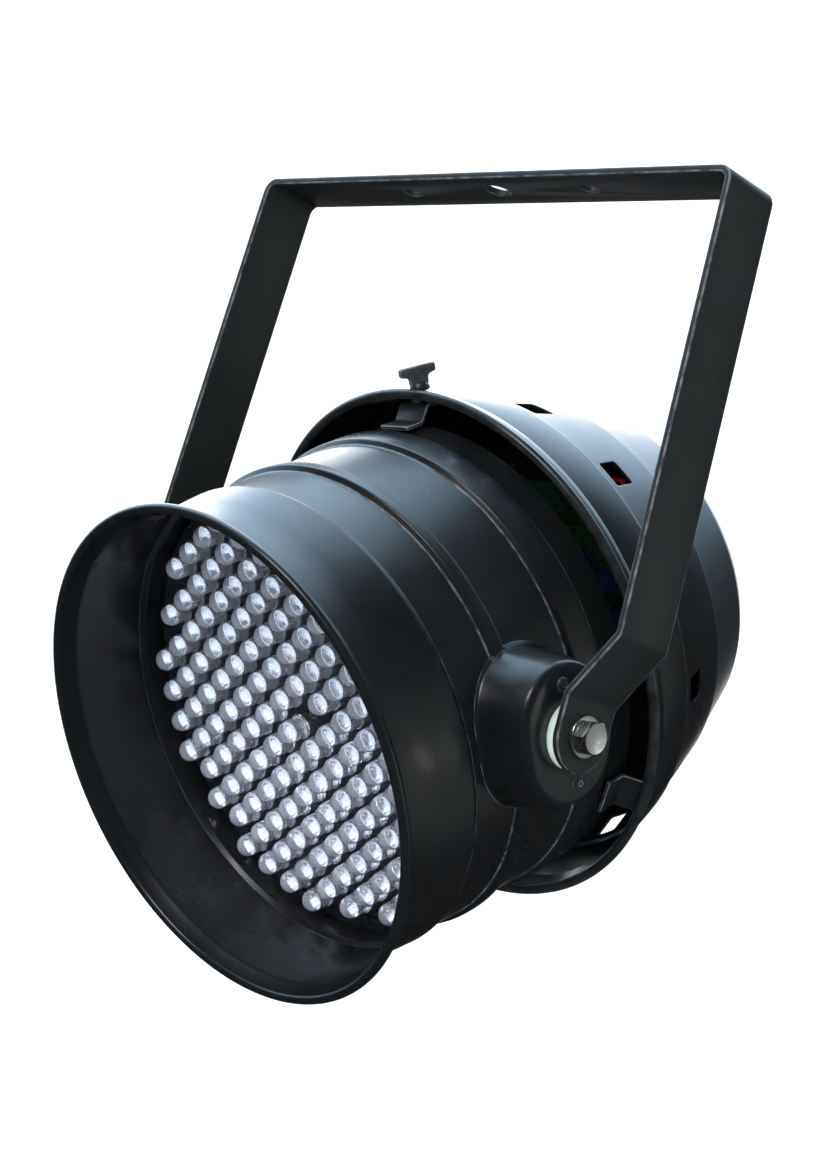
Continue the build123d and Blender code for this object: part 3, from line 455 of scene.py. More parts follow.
def worked(form, *steps, cutters=()):
    """A form after modifiers, each given as (kind, settings), with the cutters taken away first."""
    holder = bpy.data.objects.new("blank", form.mesh("blank"))
    bpy.context.scene.collection.objects.link(holder)
    tools = []
    for cutter in cutters:
        tool = bpy.data.objects.new("cutter", cutter.mesh("cutter"))
        bpy.context.scene.collection.objects.link(tool)
        tools.append(tool)
        cut = holder.modifiers.new("cut", "BOOLEAN")
        cut.operation, cut.solver, cut.object = "DIFFERENCE", "EXACT", tool
    for kind, settings in steps:
        modifier = holder.modifiers.new(kind.lower(), kind)
        for label, value in settings.items():
            setattr(modifier, label, value)
    bpy.context.view_layer.update()
    made = holder.evaluated_get(bpy.context.evaluated_depsgraph_get())
    mesh = bpy.data.meshes.new_from_object(made)
    result = Form([v.co / MM for v in mesh.vertices], [tuple(p.vertices) for p in mesh.polygons])
    for spare in (holder, *tools):
        bpy.data.objects.remove(spare)
    return result


def softened(form, width, segments=2, angle=40.0, cutters=()):
    """A form with its edges rounded over."""
    settings = {"width": width * MM, "segments": segments, "limit_method": "ANGLE",
                "angle_limit": radians(angle), "use_clamp_overlap": True}
    return worked(form, ("BEVEL", settings), cutters=cutters)


def walls(rings, count):
    """Faces between closed rings of points that follow one another."""
    faces = []
    for i in range(rings - 1):
        for j in range(count):
            here, beside = i * count + j, i * count + (j + 1) % count
            faces.append((here, beside, beside + count, here + count))
    return faces


def caps(rings, count):
    """Flat faces over the first and the last of the rings."""
    return [tuple(range(count))[::-1], tuple(range((rings - 1) * count, rings * count))]


def rounded_path(points, radii, step=9.0):
    """An open line with its inner corners rounded, each to its own radius."""
    path = [Vector(points[0])]
    for before, corner, after, radius in zip(points, points[1:], points[2:], radii):
        before, corner, after = Vector(before), Vector(corner), Vector(after)
        back, on = (before - corner).normalized(), (after - corner).normalized()
        half = back.angle(on) / 2
        if radius <= 0 or half > radians(89.9):
            path.append(corner)
            continue
        centre = corner + (back + on).normalized() * radius / sin(half)
        start = corner + back * radius / tan(half) - centre
        sweep = pi - 2 * half
        if start.x * on.y - start.y * on.x < 0:
            sweep = -sweep
        count = max(2, ceil(abs(degrees(sweep)) / step))
        for i in range(count + 1):
            a = sweep * i / count
            turned = (start.x * cos(a) - start.y * sin(a), start.x * sin(a) + start.y * cos(a))
            path.append(centre + Vector(turned))
    path.append(Vector(points[-1]))
    return path


def shifted(path, distance):
    """A line moved sideways, to its right if the distance is positive."""
    result = []
    for i, point in enumerate(path):
        before, after = path[max(i - 1, 0)], path[min(i + 1, len(path) - 1)]
        run = (after - before).normalized()
        result.append(point + Vector((run.y, -run.x)) * distance)
    return result


def arc_points(centre, radius, start, end, count):
    angles = [radians(start + (end - start) * i / count) for i in range(count + 1)]
    return [Vector((centre[0] + radius * cos(a), centre[1] + radius * sin(a))) for a in angles]


def spun(outline, segments=192, closed=True):
    """An outline of (radius, place) points turned about the can's axis."""
    points, faces, count = [], [], len(outline)
    poles = [p[0] < 1e-4 for p in outline]
    index = []
    for (radius, place), pole in zip(outline, poles):
        ring = []
        for j in range(1 if pole else segments):
            a = 2 * pi * j / segments
            ring.append(len(points))
            points.append((radius * sin(a), place, radius * cos(a)))
        index.append(ring)
    for i in range(count if closed else count - 1):
        k = (i + 1) % count
        for j in range(segments):
            n = (j + 1) % segments
            corners = [index[i][0 if poles[i] else j], index[i][0 if poles[i] else n],
                       index[k][0 if poles[k] else n], index[k][0 if poles[k] else j]]
            corners = list(dict.fromkeys(corners))
            if len(corners) > 2:
                faces.append(corners)
    return Form(points, faces)


def turned_part(outline, segments=48):
    """An outline of (radius, height) points turned about Z, its ends on the axis or joined up."""
    form = spun(outline, segments, closed=outline[0][0] > 1e-4)
    return Form([(p.x, p.z, p.y) for p in form.points], [face[::-1] for face in form.faces])


def prism(outline, low, high):
    """A flat outline of (x, y) points drawn out along Z."""
    count = len(outline)
    points = [(x, y, low) for x, y in outline] + [(x, y, high) for x, y in outline]
    faces = [tuple(range(count))[::-1], tuple(range(count, 2 * count))]
    faces += [(i, (i + 1) % count, count + (i + 1) % count, count + i) for i in range(count)]
    return Form(points, faces)


def circle(radius, count=48, x=0.0, y=0.0):
    angles = [2 * pi * i / count for i in range(count)]
    return [(x + radius * cos(a), y + radius * sin(a)) for a in angles]


def hexagon(flats):
    return circle(flats / 2 / cos(pi / 6), 6)


def rounded_rectangle(width, height, radius, x=0.0, y=0.0, count=5):
    result = []
    for cx, cy, start in ((1, 1, 0), (-1, 1, 90), (-1, -1, 180), (1, -1, 270)):
        centre = (x + cx * (width / 2 - radius), y + cy * (height / 2 - radius))
        result += [tuple(p) for p in arc_points(centre, radius, start, start + 90, count)]
    return result


def block(x, y, z):
    """A box from three (low, high) pairs."""
    return prism([(x[0], y[0]), (x[1], y[0]), (x[1], y[1]), (x[0], y[1])], z[0], z[1])


def plate(outlines, thickness, edge):
    """A flat plate with holes and rounded edges, lying on Z = 0; the first outline is the outside."""
    curve = bpy.data.curves.new("plate", "CURVE")
    curve.dimensions, curve.fill_mode = "2D", "BOTH"
    curve.extrude, curve.bevel_depth = (thickness / 2 - edge) * MM, edge * MM
    curve.bevel_resolution, curve.offset = 1, -edge * MM
    for outline in outlines:
        line = curve.splines.new("POLY")
        line.points.add(len(outline) - 1)
        for point, (x, y) in zip(line.points, outline):
            point.co = (x * MM, y * MM, 0, 1)
        line.use_cyclic_u = True
    holder = bpy.data.objects.new("plate", curve)
    bpy.context.scene.collection.objects.link(holder)
    bpy.context.view_layer.update()
    mesh = bpy.data.meshes.new_from_object(holder.evaluated_get(bpy.context.evaluated_depsgraph_get()))
    form = Form([v.co / MM + Vector((0, 0, thickness / 2)) for v in mesh.vertices],
                [tuple(p.vertices) for p in mesh.polygons])
    bpy.data.objects.remove(holder)
    return worked(form, ("WELD", {"merge_threshold": 0.00001}))


def mark_outside_curves(mesh):
    """Stores how tightly each face curves outwards, in 1/mm, for the edges lightened partly by wear and partly by
    painted highlight.
    """
    place = np.empty(len(mesh.vertices) * 3, np.float32)
    mesh.vertices.foreach_get("co", place)
    normal = np.empty(len(mesh.vertices) * 3, np.float32)
    mesh.vertex_normals.foreach_get("vector", normal)
    place, normal = place.reshape(-1, 3) / MM, normal.reshape(-1, 3)
    corner = np.empty(len(mesh.loops), np.int32)
    mesh.loops.foreach_get("vertex_index", corner)
    start = np.empty(len(mesh.polygons), np.int32)
    mesh.polygons.foreach_get("loop_start", start)
    following = np.arange(1, len(corner) + 1)
    following[np.append(start[1:], len(corner)) - 1] = start
    ahead = corner[following]
    run, lean = place[ahead] - place[corner], normal[ahead] - normal[corner]
    curve = (lean * run).sum(1) / np.maximum((run * run).sum(1), 1e-4)
    tightest = np.maximum.reduceat(curve, start).astype(np.float32)
    mesh.attributes.new("outside_curve", "FLOAT", "FACE").data.foreach_set("value", tightest)


def make_piece(name, form, slot, body, replaced=(), place=CAN, crease=32.0):
    """A finished piece that rides on a CAD body and stands for the CAD nodes it replaces."""
    mesh = Form([place @ (p * MM) / MM for p in form.points], form.faces).mesh(name)
    piece = bpy.data.objects.new(name, mesh)
    bpy.context.scene.collection.objects.link(piece)
    mesh.shade_smooth()
    mesh.set_sharp_from_angle(angle=radians(crease))
    mark_outside_curves(mesh)
    mesh.materials.append(slots[slot])
    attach(piece, body)
    if replaced:
        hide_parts(*replaced)


panel_inner, panel_face = 165.0, 167.0


def outward(angle, place, radius):
    """Stands a part drawn along Z on the can, pointing away from its axis."""
    return turn(angle, "Y") @ at(0, place, radius)


def along_x(side, x, y=0.0, z=0.0):
    """Turns a part drawn along Z so that it points out of the can's side."""
    return at(side * x, y, z) @ turn(90 * side, "Y")


def on_panel(x, z, face=panel_face):
    """Stands a part drawn along Z on the rear panel's outside."""
    return at(x, face, z) @ turn(-90, "X")


# ================================================================ barrel
can_wall = 1.2
rim_radius, rim_place, rim_bead = 108.0, -78.0, 2.2
body_radius, barrel_end = 103.0, 60.5
bead_slope = 1.8


def raised_bead(place, width, height):
    low, high = place - width / 2, place + width / 2
    return [(body_radius, low - bead_slope), (body_radius + height, low),
            (body_radius + height, high), (body_radius, high + bead_slope)]


barrel_line = rounded_path(
    [(rim_radius - 1.2, rim_place + 0.6), (104.4, -72.0), (102.8, -58.0), (104.4, -36.0),
     (body_radius, -33.5), *raised_bead(-6.0, 5.0, 2.4), *raised_bead(37.5, 13.5, 2.2),
     (body_radius, barrel_end)],
    [6.0, 60.0, 1.4, 1.4] + [1.2] * 8, 8.0)


def barrel_radius_at(place):
    for a, b in zip(barrel_line, barrel_line[1:]):
        if a.y <= place <= b.y:
            return a.x + (b.x - a.x) * (place - a.y) / max(b.y - a.y, 1e-6)
    return body_radius


def make_barrel():
    outside = [p for p in barrel_line if (p - Vector((rim_radius, rim_place))).length > rim_bead + 0.25]
    inside = [p for p in shifted(barrel_line, -can_wall) if p.y > rim_place + 1.4]
    bead = arc_points((rim_radius, rim_place), rim_bead, 140, -178, 30)
    return spun([*outside[::-1], *bead, *inside], 288)


# ================================================================ ears
ear_reach, ear_face_radius, ear_half, ear_flare, ear_edge = 125.5, 25.0, 30.0, 3.0, 3.5


def ear_ring(radius, count=96):
    """The ear's outline as (y, z), a slot with rounded ends."""
    straight = ear_half - ear_face_radius
    result = []
    for i in range(count):
        a = 2 * pi * (i + 0.5) / count
        shift = straight if sin(a) > 0 else -straight
        result.append((radius * cos(a), radius * sin(a) + shift))
    return result


def on_barrel(y, z, lift):
    """The point of the barrel's side over (y, z), lifted off it."""
    return (sqrt(barrel_radius_at(y) ** 2 - z * z) + lift, y, z)


def make_ear():
    """Pressed ear with a rounded crown, drawn down onto the can with a small weld fillet."""
    wall = ear_reach - body_radius
    rings = []
    for i in range(7):
        a = radians(15 * i)
        inset, depth = ear_edge * (1 - sin(a)), ear_edge * (1 - cos(a))
        rings.append([(ear_reach - depth, y, z) for y, z in ear_ring(ear_face_radius - inset)])
    for depth in (6.0, 11.0, 16.0):
        outline = ear_ring(ear_face_radius + ear_flare * depth / wall)
        rings.append([(ear_reach - depth, y, z) for y, z in outline])
    for lift, spread in ((1.6, 0.0), (0.9, 0.25), (0.4, 0.7), (0.1, 1.3), (-0.5, 1.7)):
        outline = ear_ring(ear_face_radius + ear_flare + spread)
        rings.append([on_barrel(y, z, lift) for y, z in outline])
    sunk = -0.5
    for share in (0.66, 0.33):
        outline = ear_ring(ear_face_radius + ear_flare)
        rings.append([on_barrel(y * share, z * share, sunk) for y, z in outline])
    count = len(rings[0])
    points = [p for ring in rings for p in ring]
    faces = walls(len(rings), count)
    for ring, x in ((0, ear_reach), (len(rings) - 1, barrel_radius_at(0) + sunk)):
        centre = len(points)
        points.append((x, 0, 0))
        for j in range(count):
            pair = (ring * count + j, ring * count + (j + 1) % count)
            faces.append((*pair[::-1], centre) if ring == 0 else (*pair, centre))
    return Form(points, [face[::-1] for face in faces])


# ================================================================ fastenings
def hexagon_head(flats, height, crown=0.93, count=120):
    """A forged hexagon head along Z, its corners cut back by a shallow cone, and a washer face below."""
    foot, crown_radius = flats / 2 * 0.95, flats / 2 * crown
    rings = [[], [], [], [], []]
    for i in range(count):
        a = 2 * pi * i / count
        off = (a + pi / 6) % (pi / 3) - pi / 6
        reach = flats / 2 / cos(off)
        drop = max(0.0, reach - crown_radius) * tan(radians(30))
        steps = ((foot, 0.0), (reach, 0.35), (reach, height - drop), (crown_radius, height),
                 (crown_radius * 0.9, height - 0.12))
        for ring, (radius, z) in zip(rings, steps):
            ring.append((radius * cos(a), radius * sin(a), z))
    points = [p for ring in rings for p in ring]
    return softened(Form(points, walls(5, count) + caps(5, count)), 0.22, 2, 25)


def threaded_shank(radius, top, bottom, pitch=1.0, segments=32):
    """A screw thread along Z, with a lead-in at its tip."""
    rows = int((top - bottom) / pitch * 4)
    points = []
    for i in range(rows + 1):
        for j in range(segments):
            z = bottom + (top - bottom) * i / rows
            phase = (z / pitch - j / segments) % 1.0
            groove = 0.32 * pitch * (1 - abs(2 * phase - 1))
            r = radius - groove - max(0.0, 0.8 - (z - bottom)) * 0.7
            a = 2 * pi * j / segments
            points.append((r * cos(a), r * sin(a), z))
    return Form(points, walls(rows + 1, segments) + caps(rows + 1, segments))


def washer(radius, hole, thickness, edge=0.3):
    under = [(hole, 0.1), (hole + 0.1, 0), (radius - edge, 0), (radius - edge * 0.3, edge * 0.3),
             (radius, edge)]
    return turned_part(under + [(r, thickness - z) for r, z in under[::-1]], 72)


def rivet_head(radius, height):
    """Domed blind rivet with its snapped mandrel sunk in the middle."""
    dome = [(0, height - 0.45), (radius * 0.26, height - 0.45), (radius * 0.3, height - 0.05),
            (radius * 0.36, height), (radius * 0.62, height * 0.92), (radius * 0.86, height * 0.62),
            (radius * 0.98, height * 0.25), (radius, 0.0), (radius * 0.96, -0.15), (0, -0.15)]
    return turned_part(dome[::-1], 32)


def cross_screw(radius, height, shank, length):
    """Pan-head screw along Z with a cross recess and a thread."""
    dome = ((0, 0), (0.97, 0), (1, 0.12), (1, 0.5), (0.93, 0.78), (0.75, 0.95), (0.5, 1), (0, 1))
    head = turned_part([(radius * r, height * z) for r, z in dome], 40)
    arm, tip = radius * 0.62, radius * 0.14
    corners = ((-1, -1), (1, -1), (1, 1), (-1, 1))
    tooth = [(arm * 0.35 * x, tip * 0.6 * y, height * 0.25) for x, y in corners]
    tooth += [(arm * x, tip * y, height * 1.2) for x, y in corners]
    faces = [(3, 2, 1, 0), (4, 5, 6, 7), (0, 1, 5, 4), (1, 2, 6, 5), (2, 3, 7, 6), (3, 0, 4, 7)]
    cross = [Form([turn(a, "Z") @ Vector(p) for p in tooth], faces) for a in (0, 90)]
    head = worked(head, cutters=cross)
    return head.add(threaded_shank(shank, 0.05, -length, 0.6, 16))


# ================================================================ rear cap
cap_rim_radius, cap_rim_place, cap_rim_bead, cap_end = 117.3, 59.2, 2.3, 165.0
cap_line = rounded_path([(117.6, 60.0), (110.4, 89.5), (109.0, 90.9), (97.2, 127.0), (95.8, 128.4),
                         (83.0, 160.5), (80.0, cap_end), (66.0, cap_end)], [1.0, 1.0, 1.0, 1.0, 5.0, 1.6])
vent_count, vent_side, vent_place, first_vent = 13, 13.0, 101.0, 18.0
vent_columns, cell_columns, cell_rows = 20, 8, 6
cell_low, cell_high = 92.6, 109.4


def cap_radius_at(place):
    for a, b in zip(cap_line, cap_line[1:]):
        if a.y <= place <= b.y and b.y > a.y:
            return a.x + (b.x - a.x) * (place - a.y) / (b.y - a.y)
    return cap_line[0].x


def vent_ring(size, round_off):
    """Points round a vent, starting at its front left corner, as (across, place)."""
    reach, result = size / 2 - round_off, []
    corners = [(-reach, -reach), (reach, -reach), (reach, reach), (-reach, reach)]
    for i, count in enumerate((cell_columns, cell_rows, cell_columns, cell_rows)):
        start = 225 + 90 * i
        corner = arc_points(corners[i], round_off, start, start + 45, 2)
        following = arc_points(corners[(i + 1) % 4], round_off, start + 45, start + 90, 2)
        straight = count - 4
        result += corner[:2]
        result += [corner[2].lerp(following[0], k / straight) for k in range(straight)]
        result += following[:2]
    return result


def make_cap_skin():
    """The cap's outer skin, open at the front, at the rear and at every vent."""
    columns = vent_count * vent_columns
    before = [p for p in cap_line if p.y < cell_low]
    after = cap_line[len(before):]
    rows = [(p.x, p.y) for p in before]
    vent_start = len(rows)
    for i in range(cell_rows + 1):
        place = cell_low + (cell_high - cell_low) * i / cell_rows
        rows.append((cap_radius_at(place), place))
    rows += [(p.x, p.y) for p in after if p.y > cell_high or p.x < 90]
    points, faces = [], []
    column_turn = 360 / columns
    start_angle = first_vent - column_turn * cell_columns / 2
    for radius, place in rows:
        for j in range(columns):
            a = radians(start_angle + column_turn * j)
            points.append((radius * sin(a), place, radius * cos(a)))
    for k, face in enumerate(walls(len(rows), columns)):
        row, column = divmod(k, columns)
        if not (vent_start <= row < vent_start + cell_rows and column % vent_columns < cell_columns):
            faces.append(face)
    for vent in range(vent_count):
        first = vent * vent_columns
        edge = [(vent_start, first + j) for j in range(cell_columns)]
        edge += [(vent_start + i, first + cell_columns) for i in range(cell_rows)]
        edge += [(vent_start + cell_rows, first + cell_columns - j) for j in range(cell_columns)]
        edge += [(vent_start + cell_rows - i, first) for i in range(cell_rows)]
        outer = [i * columns + j % columns for i, j in edge]
        middle = first_vent + vent * 360 / vent_count
        for size, round_off in ((vent_side + 1.6, 2.0), (vent_side, 1.4)):
            ring = []
            for across, along in vent_ring(size, round_off):
                place = vent_place + along
                radius = cap_radius_at(place)
                a = radians(middle) + asin(across / radius)
                ring.append(len(points))
                points.append((radius * sin(a), place, radius * cos(a)))
            for k in range(len(outer)):
                n = (k + 1) % len(outer)
                faces.append((outer[k], outer[n], ring[n], ring[k]))
            outer = ring
    return Form(points, faces)


def make_cap():
    """The vented skin given its thickness, with a rolled bead and a folded hem at its front."""
    sheet = {"thickness": can_wall * MM, "offset": -1.0, "use_even_offset": True}
    skin = softened(worked(make_cap_skin(), ("SOLIDIFY", sheet)), 0.28, 2, 55)
    slope = 0.24
    hem = [(117.9, 60.6), (118.2, 61.4), (118.1, 66.4), (117.6, 67.0), (115.6, 67.2), (115.4, 60.4)]
    hem = [(r - slope * (y - 60.0) - 0.15, y) for r, y in hem]
    bead = arc_points((cap_rim_radius, cap_rim_place), cap_rim_bead, 0, 348, 29)
    return skin.add(spun(bead, 260)).add(spun(hem[::-1], 260))


# ================================================================ yoke
strap_width, strap_thickness, pivot_drop = 30.0, 3.0, 235.0
foot_outer, washer_thickness = 132.5, 1.6
hanging_hole, side_hole, side_hole_across = 6.25, 4.25, 55


def strap_section(half_width):
    """Half of the strap's section as (across, depth), its edges eased by the rolling mill."""
    edge = 0.7
    soft = min(edge, half_width * 0.4)
    near = [(half_width - soft, 0.0), (half_width - soft * 0.3, 0.22), (half_width, edge)]
    return near + [(w, strap_thickness - d) for w, d in near[::-1]]


def make_yoke():
    """One strap bent to a U, its feet stepped inwards and rounded, with three holes in the bar."""
    end = -pivot_drop - strap_width / 2
    half = [(foot_outer, end), (foot_outer, -221.0), (150.8, -195.0), (143.5, 0.0)]
    path = rounded_path(half + [(-x, z) for x, z in reversed(half)], [5.0, 5.0, 7.0, 7.0, 5.0, 5.0], 7.5)
    steps = [strap_width / 2 * (1 - cos(radians(a))) for a in range(9, 90, 9)]
    first = [path[0] + Vector((0, d)) for d in (0.02, *steps)]
    last = [path[-1] + Vector((0, d)) for d in (*steps[::-1], 0.02)]
    path = [*first, *path[1:-1], *last]
    points = []
    for outside, inside in zip(path, shifted(path, -strap_thickness)):
        across = (inside - outside) / strap_thickness
        short = max(0.0, strap_width / 2 - (outside.y - end))
        side = strap_section(sqrt(max(strap_width ** 2 / 4 - short ** 2, 0.3)))
        for w, d in side + [(-w, d) for w, d in side[::-1]]:
            spot = outside + across * d
            points.append((spot.x, w, spot.y))
    size = len(points) // len(path)
    faces = [(a, d, c, b) for a, b, c, d in walls(len(path), size)]
    faces += [face[::-1] for face in caps(len(path), size)]
    holes = ((0, hanging_hole), (-side_hole_across, side_hole), (side_hole_across, side_hole))
    cutters = [prism(circle(radius, 56, x), -8, 8) for x, radius in holes]
    return softened(Form(points, faces), 0.45, 3, 62, cutters)


# ================================================================ cap fixing
catch_shelf, thumb_place = 110.98, 66.6


def bent_strip(points, radii, width, thickness, angle):
    """A strip of sheet along the can, bent to (radius, place) points of its outer face."""
    path = rounded_path(points, radii)
    inner = shifted(path, thickness)
    outline = [(p.y, p.x) for p in path] + [(p.y, p.x) for p in inner[::-1]]
    strip = prism(outline, -width / 2, width / 2)
    stand = Matrix(((0, 0, 1, 0), (1, 0, 0, 0), (0, 1, 0, 0), (0, 0, 0, 1)))
    return Form([turn(angle, "Y") @ stand @ p for p in strip.points], strip.faces)


def bracket_strip(shelf, angle):
    line = [(104.5, 47.6), (104.5, 57.5), (shelf, 62.7), (shelf, 72.0)]
    return softened(bent_strip(line, [1.8, 1.8], 17.0, 1.5, angle), 0.3)


def make_thumb_screw():
    """Winged screw: a flat pressed wing on a collar."""
    line = [(0, 0), (4.2, 0), (4.6, 4.2), (8.5, 5.2), (8.5, 9.0), (0, 9.0)]
    outline = rounded_path(line, [0.8, 1.5, 1.0, 1.2])
    right = [(p.x, p.y) for p in outline]
    wing = prism(right + [(-x, y) for x, y in right[-2:0:-1]], -1.3, 1.3)
    wing = softened(wing, 0.6, 3)
    stand = at(0, 0, 1.8) @ turn(-20, "Z") @ turn(90, "Z") @ turn(90, "X")
    collar = turned_part([(0, 0), (4.1, 0), (4.4, 0.3), (4.4, 1.9), (3.9, 2.4), (3.2, 3.4), (0, 3.6)], 40)
    screw = Form().add(wing, stand).add(collar).add(threaded_shank(2.45, 0.1, -9.2, 0.8, 24))
    seat = 117.2
    return Form().add(screw, at(0, thumb_place, seat))


# ================================================================ light source
led_radius, led_height, led_pitch, led_rings, board_face = 5.0, 12.0, 14.6, 7, -24.0


def led_places():
    places, step, lean = [], led_pitch * sqrt(3) / 2, radians(4.5)
    for column in range(-led_rings, led_rings + 1):
        rows = 2 * led_rings + 1 - abs(column)
        for row in range(rows):
            x, z = column * step, (row - (rows - 1) / 2) * led_pitch
            reach = max(abs(z), abs(z) / 2 + abs(x) * sqrt(3) / 2) / led_pitch
            if reach < 6.3 and (x, z) != (0, 0):
                places.append((x * cos(lean) - z * sin(lean), x * sin(lean) + z * cos(lean)))
    return places


def board_screw_places():
    x, z = led_pitch * sqrt(3) / 2, led_pitch * (led_rings - 0.5)
    spots = []
    for i in range(3):
        a = radians(120 * i + 4.5)
        spots.append((x * cos(a) - z * sin(a), x * sin(a) + z * cos(a)))
    return spots


def facing_front(x, z, spin=0.0):
    """Stands a part drawn along Z on the front of the LED board."""
    return at(x, board_face, z) @ turn(90, "X") @ turn(spin, "Z")


def led_lens():
    """Clear lens with its flange, flat foot and domed top."""
    straight = led_height - led_radius
    outline = [(0, 0.0), (5.5, 0.0), (5.6, 0.1), (5.6, 0.9), (5.5, 1.0), (5.06, 1.05), (5.0, 1.3), (5.0, 3.5),
               (5.0, straight)]
    for a in range(10, 81, 10):
        outline.append((led_radius * cos(radians(a)), straight + led_radius * sin(radians(a))))
    return turned_part(outline + [(0, led_height)], 28)


def led_frame():
    """Reflector cup on its post, and the second post, seen through the lens."""
    cup = turned_part([(0, 3.4), (1.5, 3.4), (2.5, 4.6), (2.9, 6.1), (2.75, 6.1), (2.0, 4.9), (1.1, 4.6),
                       (0, 4.6)], 20)
    chip = block((-0.55, 0.55), (-0.55, 0.55), (4.6, 4.9))
    post = block((-0.9, 0.9), (-0.35, 0.35), (0.3, 3.5))
    other = block((2.9, 3.7), (-0.3, 0.3), (0.3, 5.0)).add(block((2.5, 3.9), (-0.3, 0.3), (5.0, 5.6)))
    return Form().add(cup).add(chip).add(post).add(other)


# ================================================================ sockets, gland, fuse, keys
panel_screw_circle, display_height, display_face = 70.5, 40.0, 163.5
socket_across, socket_height, socket_screw_x, socket_screw_z = 30.0, -14.0, 9.8, 12.1
flange_thickness, well_depth, contact_circle = 2.2, 10.8, 4.2
gland_across, gland_height, gland_flats = 22.0, -48.0, 17.0
key_pitch, key_height = 15.0, 16.0


def panel_screw_places():
    angles = [radians(a) for a in (45, 135, 225, 315)]
    return [(panel_screw_circle * sin(a), panel_screw_circle * cos(a)) for a in angles]


def make_panel():
    """Round plate with the openings of everything it carries. Its own second axis points down."""
    holes = [circle(1.6, 16, x, z) for x, z in panel_screw_places()]
    holes += [circle(4.15, 32, (i - 1.5) * key_pitch, -key_height) for i in range(4)]
    holes.append(rounded_rectangle(42.2, 16.2, 0.6, 0, -display_height))
    holes += [circle(11.6, 48, side * socket_across, -socket_height) for side in (-1, 1)]
    holes += [circle(6.1, 32, gland_across, -gland_height), circle(6.6, 32, -gland_across, -gland_height)]
    return plate([circle(75.0, 160)] + holes, 2.0, 0.35)


def socket_flange():
    """Square flange with a stepped ring round the mouth, and the socket's deep barrel."""
    holes = [circle(9.4, 64), circle(1.6, 16, socket_screw_x, -socket_screw_z),
             circle(1.6, 16, -socket_screw_x, socket_screw_z)]
    flange = plate([rounded_rectangle(26.0, 31.0, 2.5)] + holes, flange_thickness, 0.5)
    line = [(9.4, -well_depth), (9.4, 1.4), (9.9, 2.15), (10.6, 2.15), (10.9, 1.5), (10.9, -14.0),
            (10.4, -15.8), (0, -15.8), (0, -well_depth)]
    return flange.add(turned_part(line[::-1], 64))


def contact_places(offset):
    angles = [radians(a + offset) for a in (90, 210, 330)]
    return [(contact_circle * cos(a), contact_circle * sin(a)) for a in angles]


def contact_pin():
    return turned_part([(0, 0), (1.2, 0), (1.2, 9.2), (1.05, 9.7), (0.7, 9.95), (0, 10.0)], 20)


def signal_insert():
    """Insert with three lead-in holes, a little way inside the mouth."""
    body = turned_part([(0, 0), (7.5, 0), (7.5, 10.7), (7.2, 11.0), (0, 11.0)], 48)
    hole = prism(circle(1.55, 20), 2.0, 14)
    return softened(body, 0.25, 2, 50, [Form().add(hole, at(x, y)) for x, y in contact_places(180)])


def ribbed_ring(radius, hole, height, ribs, depth):
    """A grip ring along Z with rounded ribs."""
    outline, count = [], ribs * 6
    for i in range(count):
        wave = 0.5 + 0.5 * cos(2 * pi * i / 6)
        r = radius - depth * (1 - wave)
        outline.append((r * cos(2 * pi * i / count), r * sin(2 * pi * i / count)))
    return plate([outline, circle(hole, 40)], height, 0.4)


def make_gland_dome():
    """Dome nut: six flats, then a crown that closes on the lead's bore."""
    nut = plate([hexagon(gland_flats), circle(6.0, 40)], 8.6, 0.5)
    crown = turned_part([(3.6, 0), (7.6, 0), (8.0, 0.6), (7.8, 2.0), (6.9, 4.2), (5.9, 5.6), (5.0, 6.1),
                         (4.1, 6.1), (3.7, 5.7)], 48)
    return Form().add(nut, at(0, 0, 4.3)).add(crown, at(0, 0, 12.85))


def make_gland_body():
    """The gland's fixed hexagon and its threaded tube through the panel."""
    nut = plate([hexagon(gland_flats), circle(3.6, 40)], 4.0, 0.4)
    tube = turned_part([(3.6, -10.0), (5.9, -10.0), (5.9, 4.5), (3.6, 4.5)], 40)
    return nut.add(tube)


def make_fuse_cap():
    """Knurled bayonet cap with a coin slot."""
    low, high = 2.0, 5.4
    grip = ribbed_ring(7.6, 6.2, high - low, 28, 0.5)
    lid = turned_part([(0, 2.0), (6.9, 2.0), (7.0, 5.4), (6.8, 5.9), (6.2, 6.2), (0, 6.2)], 48)
    slot = block((-5.7, 5.7), (-0.7, 0.7), (3.8, 7.0))
    lid = softened(lid, 0.15, 1, 50, [slot])
    stem = turned_part([(0, -6.0), (4.0, -6.0), (4.1, -5.8), (4.1, 2.1), (0, 2.1)], 32)
    return lid.add(grip, at(0, 0, low)).add(stem)


def make_fuse_rim():
    """Collar on the panel and the holder's barrel behind it."""
    return turned_part([(4.2, -20.0), (6.4, -20.0), (6.4, 0.0), (8.3, 0.0), (8.5, 0.2), (8.5, 1.4),
                        (8.2, 1.8), (4.4, 1.8), (4.2, 1.6)], 48)


def make_button():
    """Round key with a dished top and a collar behind the panel."""
    return turned_part([(0, -11.2), (4.0, -11.2), (4.0, -3.6), (5.2, -3.5), (5.2, -2.3), (4.0, -2.3),
                        (4.0, 1.6), (3.8, 2.0), (3.4, 2.2), (2.4, 2.05), (0, 1.9)], 40)


